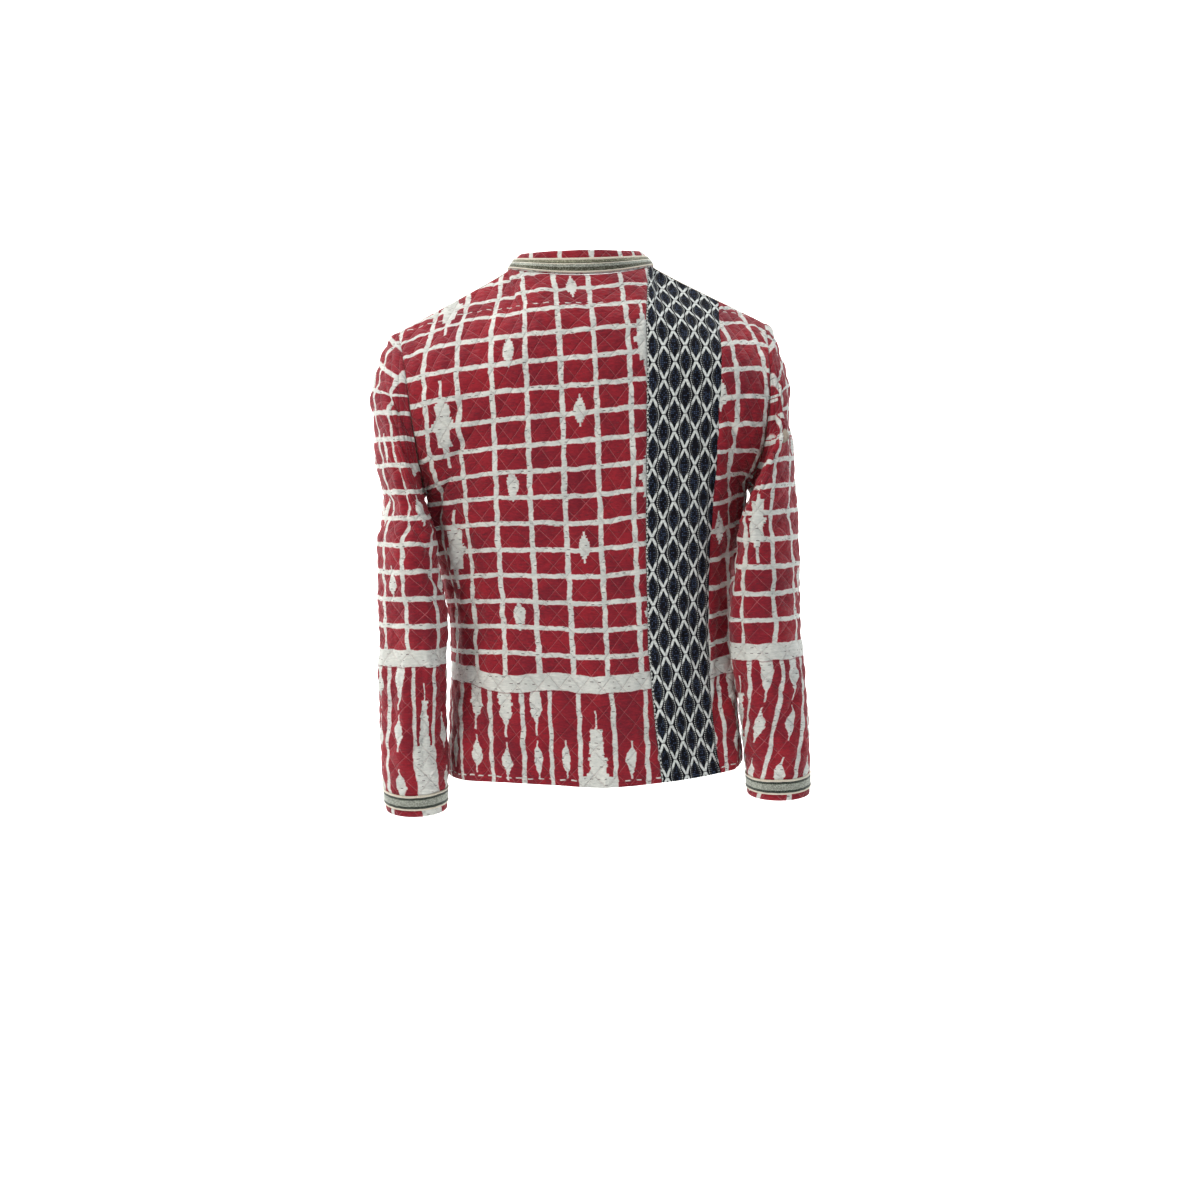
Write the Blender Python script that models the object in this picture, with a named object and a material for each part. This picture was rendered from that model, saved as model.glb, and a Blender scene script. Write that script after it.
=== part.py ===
"""A quilted patchwork jacket in the shape it takes on a wearer, hollow, with nobody in it.

The jacket stands upright in its own frame: +Z is up, the back faces -Y, the front opens
towards +Y and the wearer's right arm is on +X. The origin is the middle of the neck at the
height where the collar meets the shoulder seams, which is where a wearer holds it.
Every cloth piece is a wall of its own, cut and sewn as a maker would: three back pieces
with a woven strip between two quilted ones, two fronts, two sleeves, a stand collar, and
the braid on the collar and the cuffs. All lengths are metres.
"""

import bmesh
import bpy
import numpy as np

# The cloth
CLOTH = 0.0021
PUFF = 0.0011
SEAM_GAP = 0.0004
BRAID = 0.0010
BRAID_GAP = 0.0003

# Colours
RED = (0.36, 0.02, 0.035)
INDIGO = (0.02, 0.022, 0.035)
BRAID_GREY = (0.24, 0.25, 0.20)

# The quilting lattice: stitch lines cross at every even point of it
LATTICE = 0.0128
COLUMNS = 19
LOWER_ROWS = 24
UPPER_ROWS = 18
SLEEVE_COLUMNS = 24
CAP_ROWS = 17
ARM_ROWS = 22

# The woven strip in the back, in lattice columns right of the centre back
STRIP_FROM = 5
STRIP_TO = 12
STRIP_EDGES = np.array(
    [
        # share of the rows from the hem up, x of the strip's left edge, x of its right edge
        (0.00, 0.0635, 0.1368),
        (0.10, 0.0590, 0.1325),
        (0.28, 0.0540, 0.1290),
        (0.42, 0.0535, 0.1305),
        (0.58, 0.0550, 0.1367),
        (0.72, 0.0580, 0.1420),
        (0.87, 0.0630, 0.1495),
        (1.00, 0.0757, 0.1600),
    ]
)

# Heights
HEM = -0.591
UNDERARM = -0.255
FRONT_HEM_DROP = 0.014
BACK_NECK = -0.011
FRONT_NECK = -0.085
SHOULDER_TIP = -0.068

# Plan sizes of the neck and the shoulder
NECK_HALF = 0.084
NECK_SIDE_Y = -0.010
NECK_BACK_Y = -0.058
NECK_FRONT_Y = 0.083
NECK_COLUMNS = 7
TIP_X = 0.2135
TIP_Y = -0.008
SHOULDER_STEEP = 0.0015
FULLNESS = 0.13
FRONT_PARTING_TOP = 0.0012
FRONT_PARTING_HEM = 0.0050

# The collar
COLLAR_LEAN = 0.014
COLLAR_RISE = 0.017
COLLAR_BACK_RISE = 0.011
COLLAR_STANDS = (0.0, 0.06, 0.36, 0.66, 1.0)

# The cuff: heights above the end of the sleeve where the braid starts and ends
CUFF = -0.615
CUFF_TILT = 0.14
BRAID_LOW = 0.008
BRAID_HIGH = 0.0255
RING_TOP = -0.300
SLEEVE_GIRTH = 0.29
UNDERARM_FORWARD = 0.85

# Torso below the arms: one row for each height
TORSO = np.array(
    [
        # height, half width, back depth, front depth
        (-0.610, 0.1750, 0.1130, 0.1300),
        (-0.540, 0.1700, 0.1080, 0.1310),
        (-0.480, 0.1650, 0.1040, 0.1300),
        (-0.430, 0.1630, 0.1030, 0.1290),
        (-0.350, 0.1720, 0.1080, 0.1310),
        (-0.300, 0.1815, 0.1140, 0.1340),
        (-0.255, 0.1860, 0.1190, 0.1370),
    ]
)

# The back hem's unevenness, and the two fronts' with it at the side seams
HEM_LINE = np.array(
    [
        # share across from the left side to the right, rise
        (-1.00, 0.0090),
        (-0.50, 0.0100),
        (-0.25, 0.0060),
        (0.00, 0.0012),
        (0.27, 0.0030),
        (0.60, 0.0070),
        (1.00, 0.0150),
    ]
)

# Middle of the back and of the front above the arms, from the underarm row up to the neck
CENTRE_BACK = np.array(
    [
        # share of the way up, y
        (0.00, -0.1190),
        (0.25, -0.1225),
        (0.50, -0.1200),
        (0.70, -0.1090),
        (0.88, -0.0820),
        (1.00, NECK_BACK_Y),
    ]
)
CENTRE_FRONT = np.array(
    [
        # share of the way up, y
        (0.00, 0.1370),
        (0.25, 0.1370),
        (0.50, 0.1300),
        (0.75, 0.1130),
        (1.00, NECK_FRONT_Y),
    ]
)

# The armhole from the underarm up to the tip of the shoulder
ARMHOLE_BACK = np.array(
    [
        # share of the way along, x, y, height
        (0.000, 0.1860, 0.0000, UNDERARM),
        (0.104, 0.1900, -0.0260, -0.248),
        (0.228, 0.1945, -0.0520, -0.230),
        (0.371, 0.1990, -0.0730, -0.200),
        (0.529, 0.2040, -0.0790, -0.160),
        (0.691, 0.2075, -0.0670, -0.120),
        (0.842, 0.2105, -0.0420, -0.090),
        (1.000, TIP_X, TIP_Y, SHOULDER_TIP),
    ]
)
ARMHOLE_FRONT = np.array(
    [
        # share of the way along, x, y, height
        (0.000, 0.1860, 0.0000, UNDERARM),
        (0.098, 0.1865, 0.0240, -0.248),
        (0.209, 0.1875, 0.0450, -0.230),
        (0.343, 0.1890, 0.0610, -0.200),
        (0.502, 0.1920, 0.0660, -0.160),
        (0.667, 0.1990, 0.0550, -0.120),
        (0.819, 0.2065, 0.0320, -0.090),
        (1.000, TIP_X, TIP_Y, SHOULDER_TIP),
    ]
)

# The hanging sleeves: one row for each height. The slant turns the section, so that its back
# comes nearer the body than its front.
SLEEVE_LEFT = np.array(
    [
        # height, centre x, centre y, half width, half depth, slant
        (-0.615, 0.2122, -0.0280, 0.0351, 0.0380, 0.00),
        (-0.560, 0.2130, -0.0360, 0.0370, 0.0420, 0.05),
        (-0.500, 0.2125, -0.0430, 0.0367, 0.0460, 0.10),
        (-0.430, 0.2108, -0.0520, 0.0375, 0.0500, 0.15),
        (-0.380, 0.2096, -0.0550, 0.0376, 0.0530, 0.20),
        (-0.340, 0.2115, -0.0540, 0.0330, 0.0570, 0.20),
        (-0.300, 0.2133, -0.0500, 0.0300, 0.0600, 0.20),
    ]
)
SLEEVE_RIGHT = np.array(
    [
        # height, centre x, centre y, half width, half depth, slant
        (-0.615, 0.2095, -0.0400, 0.0365, 0.0370, 0.00),
        (-0.560, 0.2070, -0.0510, 0.0375, 0.0420, 0.10),
        (-0.500, 0.2010, -0.0610, 0.0392, 0.0460, 0.18),
        (-0.430, 0.1940, -0.0680, 0.0419, 0.0500, 0.25),
        (-0.380, 0.1945, -0.0740, 0.0395, 0.0540, 0.33),
        (-0.340, 0.1965, -0.0760, 0.0372, 0.0560, 0.34),
        (-0.300, 0.1990, -0.0740, 0.0325, 0.0580, 0.37),
    ]
)

# Folds in the cloth: each is a soft ridge, or a trough where its depth is below nothing.
# On the torso the place is metres from the middle of the piece and height.
BACK_FOLDS = np.array(
    [
        # across, height, turn in degrees, length, width, depth
        (-0.165, -0.335, -12, 0.110, 0.022, -0.0050),
        (-0.205, -0.300, -22, 0.080, 0.020, 0.0035),
        (-0.120, -0.560, -4, 0.100, 0.030, 0.0045),
        (-0.050, -0.570, 2, 0.090, 0.028, -0.0030),
        (0.030, -0.560, 3, 0.110, 0.032, 0.0040),
        (0.120, -0.560, 8, 0.120, 0.028, -0.0045),
        (0.185, -0.500, 10, 0.160, 0.022, 0.0040),
        (0.175, -0.300, 20, 0.100, 0.022, -0.0045),
        (-0.150, -0.165, 55, 0.070, 0.022, -0.0030),
        (0.140, -0.170, -50, 0.080, 0.022, -0.0030),
        (0.000, -0.430, 90, 0.120, 0.030, -0.0030),
    ]
)
FRONT_FOLDS = np.array(
    [
        # across, height, turn in degrees, length, width, depth
        (0.050, -0.540, 3, 0.130, 0.026, 0.0045),
        (0.110, -0.540, 6, 0.140, 0.026, -0.0045),
        (0.170, -0.500, 10, 0.160, 0.024, 0.0045),
        (0.185, -0.300, 25, 0.090, 0.022, -0.0045),
        (0.130, -0.190, -50, 0.070, 0.022, -0.0030),
        (0.080, -0.420, 80, 0.100, 0.030, -0.0030),
    ]
)

# On a sleeve the place is a turn round the arm, from the side next to the body over the back
# of the arm, and height.
RIGHT_SLEEVE_FOLDS = np.array(
    [
        # around, height, turn in degrees, length, width, depth
        (0.49, -0.176, 88, 0.055, 0.030, -0.0045),
        (0.50, -0.105, 88, 0.060, 0.030, -0.0050),
        (0.33, -0.215, 60, 0.055, 0.024, 0.0015),
        (0.25, -0.250, 35, 0.070, 0.024, -0.0030),
        (0.10, -0.330, 25, 0.070, 0.020, -0.0040),
        (0.20, -0.420, 12, 0.080, 0.019, -0.0040),
        (0.33, -0.450, -8, 0.070, 0.020, 0.0040),
        (0.14, -0.500, 8, 0.090, 0.019, 0.0040),
        (0.27, -0.540, 10, 0.080, 0.018, -0.0035),
        (0.75, -0.360, 70, 0.060, 0.026, -0.0070),
        (0.72, -0.420, 80, 0.060, 0.024, -0.0050),
        (0.80, -0.500, 10, 0.090, 0.020, -0.0040),
    ]
)
LEFT_SLEEVE_FOLDS = np.array(
    [
        # around, height, turn in degrees, length, width, depth
        (0.46, -0.150, 85, 0.050, 0.030, 0.0050),
        (0.36, -0.178, 70, 0.060, 0.020, -0.0045),
        (0.48, -0.262, 88, 0.070, 0.034, -0.0110),
        (0.30, -0.235, 60, 0.060, 0.020, -0.0040),
        (0.22, -0.300, 30, 0.080, 0.020, -0.0045),
        (0.31, -0.345, 12, 0.080, 0.019, 0.0040),
        (0.38, -0.430, -6, 0.080, 0.019, -0.0040),
        (0.20, -0.440, 15, 0.090, 0.018, 0.0040),
        (0.30, -0.520, -5, 0.080, 0.019, 0.0040),
        (0.15, -0.540, 6, 0.080, 0.018, -0.0035),
        (0.75, -0.360, 70, 0.060, 0.026, -0.0070),
        (0.72, -0.420, 80, 0.060, 0.024, -0.0050),
        (0.82, -0.510, 10, 0.090, 0.020, -0.0040),
    ]
)


def through(stations, values, at):
    """A smooth curve through (stations, values), read at `at`: cubic pieces that never overshoot."""
    step = np.diff(stations)
    rise = np.diff(values) / step
    slope = np.zeros(len(values))
    same_way = rise[:-1] * rise[1:] > 0
    safe = np.where(same_way, rise[:-1] + rise[1:], 1.0)
    slope[1:-1] = np.where(same_way, 2 * rise[:-1] * rise[1:] / safe, 0.0)
    slope[0] = rise[0]
    slope[-1] = rise[-1]
    at = np.clip(at, stations[0], stations[-1])
    k = np.clip(np.searchsorted(stations, at, side="right") - 1, 0, len(step) - 1)
    t = (at - stations[k]) / step[k]
    return (
        (1 + 2 * t) * (1 - t) ** 2 * values[k]
        + t * (1 - t) ** 2 * step[k] * slope[k]
        + t**2 * (3 - 2 * t) * values[k + 1]
        - t**2 * (1 - t) * step[k] * slope[k + 1]
    )


def column(table, number, at):
    """One column of a section table, read smoothly against its first column."""
    return through(table[:, 0], table[:, number], at)


def ease(low, high, at):
    """0 below low, 1 above high, and an S-shaped curve between them."""
    t = np.clip((at - low) / (high - low), 0, 1)
    return t * t * (3 - 2 * t)


def unit(vectors):
    """The same directions at length 1."""
    return vectors / np.linalg.norm(vectors, axis=-1, keepdims=True)


def folds(table, across, height):
    """The sum of soft ridges and troughs: each falls off as a bell across its line and along it."""
    total = np.zeros(np.broadcast(across, height).shape)
    for place, level, turn, length, width, depth in table:
        angle = np.radians(turn)
        dx, dz = across - place, height - level
        off = dx * np.cos(angle) - dz * np.sin(angle)
        along = dx * np.sin(angle) + dz * np.cos(angle)
        total = total + depth * np.exp(-((off / width) ** 2) - (along / length) ** 2)
    return total


def half_ring(u, half_width, depth):
    """A rounded half ring from the middle (u = 0) to the side (u = 1), with even steps along it.
    Gives the shares of the half width and of the depth."""
    psi = u * np.pi / 2
    even = np.sqrt(depth / half_width)
    phi = np.arctan2(even * np.sin(psi), np.cos(psi))
    across = np.sin(phi) * (1 + FULLNESS * np.cos(phi) ** 2)
    out = np.cos(phi) * (1 + FULLNESS * np.sin(phi) ** 2)
    return across, out


def cut_ring(u, edge_x, edge_y, middle_y):
    """The same ring where the armhole cuts it short: (x, y) from the middle (u = 0) to the
    armhole's own point (u = 1)."""
    phi = np.linspace(0, np.pi / 2, 400)
    out = np.cos(phi) * (1 + FULLNESS * np.sin(phi) ** 2)
    across = np.sin(phi) * (1 + FULLNESS * np.cos(phi) ** 2)
    share = np.clip(edge_y / middle_y, 0, 1)
    end = np.interp(-share, -out, phi)
    half_width = edge_x / np.interp(end, phi, across)
    even = np.sqrt(np.abs(middle_y) / half_width)
    psi = u * np.arctan2(np.sin(end), even * np.cos(end))
    at = np.arctan2(even * np.sin(psi), np.cos(psi))
    x = half_width * np.sin(at) * (1 + FULLNESS * np.cos(at) ** 2)
    y = middle_y * np.cos(at) * (1 + FULLNESS * np.sin(at) ** 2)
    return x, y


def top_line(u, front):
    """The seam at the top of a piece: the neck from the middle to its side, then the shoulder."""
    share = NECK_COLUMNS / COLUMNS
    turn = np.clip(u / share, 0, 1) * np.pi / 2
    middle_y, middle_z = (NECK_FRONT_Y, FRONT_NECK) if front else (NECK_BACK_Y, BACK_NECK)
    shoulder = np.clip((u - share) / (1 - share), 0, 1)
    x = NECK_HALF * np.sin(turn) + (TIP_X - NECK_HALF) * shoulder
    power = 1.25 if front else 2.0
    y = NECK_SIDE_Y + (middle_y - NECK_SIDE_Y) * np.cos(turn) + (TIP_Y - NECK_SIDE_Y) * shoulder
    steep = SHOULDER_STEEP * np.sin(np.pi * np.sqrt(shoulder))
    z = middle_z * np.cos(turn) ** power + SHOULDER_TIP * shoulder - steep
    return np.stack([x, y, z], -1)


def torso(u, v, front):
    """A point of the body cloth. u runs from the middle (0) to the right side (1) and left (-1);
    v runs in lattice rows from the hem (0) by the underarm (LOWER_ROWS) to the neck and shoulder."""
    u = np.clip(u, -1, 1)
    v = np.clip(v, 0, LOWER_ROWS + UPPER_ROWS)
    side = np.sign(u) + (u == 0)
    hem = HEM + (column(HEM_LINE, 1, side) if front else column(HEM_LINE, 1, u))
    u = np.abs(u)
    if front:
        hem = hem - FRONT_HEM_DROP * ease(0, 0.35, 1 - u)
    low = np.clip(v / LOWER_ROWS, 0, 1)
    height = hem + (UNDERARM - hem) * low
    half_width = column(TORSO, 1, height)
    depth = column(TORSO, 3 if front else 2, height)
    across, out = half_ring(u, half_width, depth)
    sign = 1.0 if front else -1.0
    lower = np.stack([half_width * across, sign * depth * out, height], -1)

    w = np.clip((v - LOWER_ROWS) / UPPER_ROWS, 0, 1)
    edge = ARMHOLE_FRONT if front else ARMHOLE_BACK
    edge_x, edge_y, edge_z = (column(edge, n, w) for n in (1, 2, 3))
    middle_y = column(CENTRE_FRONT if front else CENTRE_BACK, 1, w)
    ring_x, ring_y = cut_ring(u, edge_x, edge_y, middle_y)
    top = top_line(u, front)
    far_middle = middle_y - (NECK_FRONT_Y if front else NECK_BACK_Y)
    far_edge = edge_y - TIP_Y
    top_y = top[..., 1] + far_middle + (far_edge - far_middle) * u**2
    near_top = ease(0.40, 1.0, w) ** 1.4
    x = ring_x + (top[..., 0] * edge_x / TIP_X - ring_x) * near_top
    y = ring_y + (top_y - ring_y) * near_top
    edge_rise = (edge_z - UNDERARM) / (SHOULDER_TIP - UNDERARM)
    rise = w + (edge_rise - w) * u**2 + 0.08 * np.sin(np.pi * w) * (1 - u)
    z = UNDERARM + (top[..., 2] - UNDERARM) * rise
    upper = np.stack([x, y, z], -1)

    point = np.where((v <= LOWER_ROWS)[..., None], lower, upper)
    point[..., 0] *= side
    return point


def torso_normal(u, v, front):
    """Unit directions straight out of the body cloth."""
    u, v = np.broadcast_arrays(np.asarray(u, float), np.asarray(v, float))
    du = torso(u + 2e-3, v, front) - torso(u - 2e-3, v, front)
    dv = torso(u, v + 0.03, front) - torso(u, v - 0.03, front)
    return unit(np.cross(du, dv)) * (-1.0 if front else 1.0)


def torso_with_folds(u, v, front):
    """(points, outward directions) of the body cloth with its folds, which die out at the seams."""
    point = torso(u, v, front)
    normal = torso_normal(u, v, front)
    half = column(TORSO, 1, np.clip(point[..., 2], HEM, UNDERARM)) * 1.40
    place = np.abs(u) * half if front else u * half
    fade = ease(0, 0.14, 1 - np.abs(u)) * ease(0, 3, LOWER_ROWS + UPPER_ROWS - v)
    if front:
        fade = fade * ease(0, 0.12, np.abs(u))
    lift = folds(FRONT_FOLDS if front else BACK_FOLDS, place, point[..., 2]) * fade
    return point + normal * lift[..., None], normal


def column_places(columns, v, front):
    """u for every row of v and every lattice column. On the left half the columns are even; on
    the right half the strip's two edges and the side of the neck have their own places, and the
    columns between share the rest."""
    even = np.linspace(0, 1, 600)
    grid = np.zeros((len(v), len(columns)))
    for n, row in enumerate(v):
        share = row / (LOWER_ROWS + UPPER_ROWS)
        x = torso(even, np.full(600, row), front)[:, 0]
        first = np.interp(column(STRIP_EDGES, 1, share), x, even)
        second = np.interp(column(STRIP_EDGES, 2, share), x, even)
        between = first + (second - first) * (NECK_COLUMNS - STRIP_FROM) / (STRIP_TO - STRIP_FROM)
        neck = between + (NECK_COLUMNS / COLUMNS - between) * ease(0.80, 1.0, share)
        stops = (-COLUMNS, 0, STRIP_FROM, NECK_COLUMNS, STRIP_TO, COLUMNS)
        grid[n] = np.interp(columns, stops, (-1, 0, first, neck, second, 1))
    return grid


def armhole(turn):
    """The armhole seam of the right arm: 0 at the underarm, over the back to 0.5 at the tip."""
    turn = np.asarray(turn, float) % 1.0
    back = turn <= 0.5
    w = np.where(back, turn * 2, (1 - turn) * 2)
    over_back = np.stack([column(ARMHOLE_BACK, n, w) for n in (1, 2, 3)], -1)
    over_front = np.stack([column(ARMHOLE_FRONT, n, w) for n in (1, 2, 3)], -1)
    return np.where(back[..., None], over_back, over_front)


def arm_angle(turn):
    """Where a turn of the armhole lies round the arm: the underarm comes forward of the side
    next to the body, and the tip of the shoulder stays opposite it."""
    return 2 * np.pi * turn - UNDERARM_FORWARD * np.cos(np.pi * turn) ** 2


def sleeve_ring(turn, height, table):
    """A point of the hanging sleeve: an upright slanted oval at each height, tilted at the cuff."""
    angle = arm_angle(turn)
    across = -np.cos(angle) * column(table, 3, height)
    deep = -np.sin(angle) * column(table, 4, height)
    tilt = CUFF_TILT * ease(-0.40, CUFF, height)
    x = column(table, 1, height) + across + column(table, 5, height) * deep
    y = column(table, 2, height) + deep
    return np.stack([x, y, height + tilt * deep], -1)


def sleeve(turn, m, table):
    """A sleeve of the right arm. m runs in rows: 0 at the armhole, CAP_ROWS where the whole ring
    hangs level, and CAP_ROWS + ARM_ROWS at the end of the cuff."""
    turn, m = np.broadcast_arrays(np.asarray(turn, float), np.asarray(m, float))
    m = np.clip(m, 0, CAP_ROWS + ARM_ROWS)
    row = (RING_TOP - CUFF) / ARM_ROWS
    share = np.clip(m / CAP_ROWS, 0, 1)[..., None]
    ring = np.full(turn.shape, RING_TOP)
    start = armhole(turn)
    end = sleeve_ring(turn, ring, table)
    lift = np.sin(np.pi * turn) ** 2
    leave = np.stack(
        [0.45 + 0.35 * lift, -0.25 * np.sin(2 * np.pi * turn), -(0.85 - 0.20 * lift)], -1
    )
    reach = np.linalg.norm(end - start, axis=-1, keepdims=True)
    below = (sleeve_ring(turn, ring - 0.01, table) - end) / 0.01
    h0 = (1 + 2 * share) * (1 - share) ** 2
    h1 = share * (1 - share) ** 2
    h2 = share**2 * (3 - 2 * share)
    h3 = share**2 * (share - 1)
    start_pull = reach * (0.95 - 0.25 * lift[..., None])
    cap = h0 * start + h1 * unit(leave) * start_pull + h2 * end + h3 * below * reach * 0.95
    height = RING_TOP - np.clip(m - CAP_ROWS, 0, None) * row
    arm = sleeve_ring(turn, np.clip(height, CUFF, RING_TOP), table)
    return np.where((m <= CAP_ROWS)[..., None], cap, arm)


def sleeve_normal(turn, m, table):
    """Unit directions straight out of the sleeve."""
    around = sleeve(turn + 3e-3, m, table) - sleeve(turn - 3e-3, m, table)
    along = sleeve(turn, m + 0.05, table) - sleeve(turn, m - 0.05, table)
    return unit(np.cross(along, around))


def sleeve_with_folds(turn, m, table, fold_table):
    """(points, outward directions) of a sleeve of the right arm with its folds."""
    last = CAP_ROWS + ARM_ROWS
    point = sleeve(turn, m, table)
    normal = sleeve_normal(turn, m, table)
    lift = np.zeros(turn.shape)
    place = arm_angle(turn) / (2 * np.pi) * SLEEVE_GIRTH
    for shift in (-1, 0, 1):
        moved = fold_table.copy()
        moved[:, 0] = (moved[:, 0] + shift) * SLEEVE_GIRTH
        lift = lift + folds(moved, place, point[..., 2])
    lift = lift * ease(0, 3, m) * ease(0, 3, last - m)
    return point + normal * lift[..., None], normal


def collar(turn, rise):
    """The stand collar from the neck seam (rise 0) to its top (1). turn runs once round the neck:
    0 at the centre back, +-0.5 at the shoulders and +-1 at the centre front."""
    turn, rise = np.broadcast_arrays(np.asarray(turn, float), np.asarray(rise, float))
    share = NECK_COLUMNS / COLUMNS
    size = np.abs(turn)
    back = top_line(np.clip(size * 2, 0, 1) * share, False)
    front = top_line(np.clip(2 - size * 2, 0, 1) * share, True)
    base = np.where((size <= 0.5)[..., None], back, front)
    angle = np.pi * size
    lean = COLLAR_LEAN * (0.40 + 0.60 * np.sin(angle) ** 2)
    stand = COLLAR_RISE + COLLAR_BACK_RISE * np.cos(angle) ** 2
    inward = np.stack([-np.sin(angle), np.cos(angle), 0 * angle], -1)
    up = np.array([0.0, 0.0, 1.0])
    bow = 0.0015 * np.sin(np.pi * rise)
    point = base + inward * (lean * rise - bow)[..., None] + up * (stand * rise)[..., None]
    point[..., 0] *= np.sign(turn) + (turn == 0)
    return point


def collar_normal(turn, rise):
    """Unit directions straight out of the collar."""
    around = collar(turn + 2e-3, rise) - collar(turn - 2e-3, rise)
    along = collar(turn, rise + 0.05) - collar(turn, rise - 0.05)
    return unit(np.cross(around, along))


def mitre(*normals):
    """The way the cloths' thickness goes at a seam they share: in between the ways straight into
    each, and longer where the seam is sharp, as at the corner of a picture frame."""
    total = sum(normals)
    size = np.linalg.norm(total, axis=-1, keepdims=True)
    longer = np.clip(len(normals) / size, 1, 1.9)
    return -total / size * longer


def armhole_way(turn, table):
    """The mitre between a sleeve and the body all round the armhole of the right arm."""
    turn = np.asarray(turn, float) % 1.0
    w = np.where(turn <= 0.5, turn * 2, (1 - turn) * 2)
    v = LOWER_ROWS + w * UPPER_ROWS
    back = torso_normal(np.ones(turn.shape), v, False)
    front = torso_normal(np.ones(turn.shape), v, True)
    middle = np.minimum(np.abs(turn), np.minimum(np.abs(turn - 0.5), np.abs(turn - 1))) < 1e-6
    body = np.where((turn <= 0.5)[..., None], back, front)
    body = np.where(middle[..., None], unit(back + front), body)
    arm = sleeve_normal(turn, np.full(turn.shape, 0.3), table)
    return mitre(body, arm)


def top_way(u, front, table):
    """The mitre along the neck and the shoulder, for u of either sign."""
    share = NECK_COLUMNS / COLUMNS
    size = np.abs(u)
    last = np.full(u.shape, float(LOWER_ROWS + UPPER_ROWS))
    back = torso_normal(size, last, False)
    other = torso_normal(size, last, True)
    turn = 1 - size / share * 0.5 if front else size / share * 0.5
    stand = collar_normal(np.clip(turn, 0, 1), np.full(u.shape, 0.06))
    on_neck = size < share - 1e-6
    at_side = np.abs(size - share) < 1e-6
    way = np.where(on_neck[..., None], mitre(other if front else back, stand), mitre(back, other))
    way = np.where(at_side[..., None], mitre(unit(back + other), stand), way)
    tip = size > 1 - 1e-6
    way = np.where(tip[..., None], armhole_way(np.full(u.shape, 0.5), table), way)
    way[..., 0] *= np.sign(u) + (u == 0)
    return way


def material(name, colour):
    """A plain finish in the piece's main colour: the braid has a little shine."""
    made = bpy.data.materials.new(name)
    made.use_nodes = True
    shader = made.node_tree.nodes["Principled BSDF"]
    shader.inputs["Base Color"].default_value = (*colour, 1.0)
    shader.inputs["Roughness"].default_value = 0.5 if colour == BRAID_GREY else 0.85
    return made


def outer_faces(rows, columns, across, first):
    """Two triangles for each lattice square, split along the stitch line. across is how many
    squares a row has: as many as points on a tube, one fewer on an open piece."""
    faces = []
    for j in range(rows - 1):
        for i in range(across):
            a = j * columns + i
            b = j * columns + (i + 1) % columns
            c = b + columns
            d = a + columns
            even = (i + j + first) % 2 == 0
            faces += [(a, b, c), (a, c, d)] if even else [(a, b, d), (b, c, d)]
    return faces


def inner_faces(rows, columns, across, row_step, corners=()):
    """The plain inner side: one face for every two lattice columns and `row_step` rows, that
    takes in each point on the outline so that the rims close. A column where the outline has a
    corner is always an edge of faces."""
    tube = across == columns
    faces = []
    row_stops = sorted({*range(0, rows, row_step), rows - 1})
    column_stops = sorted({*range(0, across + 1, 2), across, *corners})
    for j0, j1 in zip(row_stops, row_stops[1:]):
        for i0, i1 in zip(column_stops, column_stops[1:]):
            low = range(i0, i1 + 1) if j0 == 0 else (i0, i1)
            high = range(i0, i1 + 1) if j1 == rows - 1 else (i0, i1)
            loop = [j0 * columns + i % columns for i in low]
            if i1 == across and not tube:
                loop += [j * columns + i1 for j in range(j0 + 1, j1)]
            loop += [j1 * columns + i % columns for i in reversed(high)]
            if i0 == 0 and not tube:
                loop += [j * columns for j in range(j1 - 1, j0, -1)]
            faces.append(loop[::-1])
    return faces


def rim_faces(loop, shift, points):
    """The cut edge of the cloth, between an outline and the same outline further in. Each step
    is split from its lower outer end, so that two pieces match where they meet at a seam."""
    level = points @ np.array([0.0, 0.37, 1.0]) + 0.11 * np.abs(points[:, 0])
    faces = []
    for a, b in zip(loop, loop[1:]):
        if level[a] <= level[b]:
            faces += [(b, a, b + shift), (a, a + shift, b + shift)]
        else:
            faces += [(b, a, a + shift), (b, a + shift, b + shift)]
    return faces


def band_faces(upper, lower, flip):
    """Joins a ring of seam points to a ring below it: three seam steps to two ring steps."""
    faces = []
    for k in range(0, len(lower), 2):
        a = [upper[(k // 2 * 3 + n) % len(upper)] for n in range(4)]
        b = [lower[(k + n) % len(lower)] for n in range(3)]
        faces += [(a[0], b[0], a[1]), (a[1], b[0], b[1]), (a[1], b[1], a[2])]
        faces += [(a[2], b[1], b[2]), (a[2], b[2], a[3])]
    return [one[::-1] for one in faces] if flip else faces


def finish(name, points, faces, colour):
    """The object, without points that no face uses, and with every face looking outwards."""
    used = sorted({k for one in faces for k in one})
    number = {k: n for n, k in enumerate(used)}
    mesh = bpy.data.meshes.new(name)
    mesh.from_pydata(points[used].tolist(), [], [[number[k] for k in one] for one in faces])
    mesh.materials.append(material(name, colour))
    work = bmesh.new()
    work.from_mesh(mesh)
    bmesh.ops.recalc_face_normals(work, faces=work.faces)
    work.to_mesh(mesh)
    work.free()
    made = bpy.data.objects.new(name, mesh)
    bpy.context.scene.collection.objects.link(made)
    return made


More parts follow.
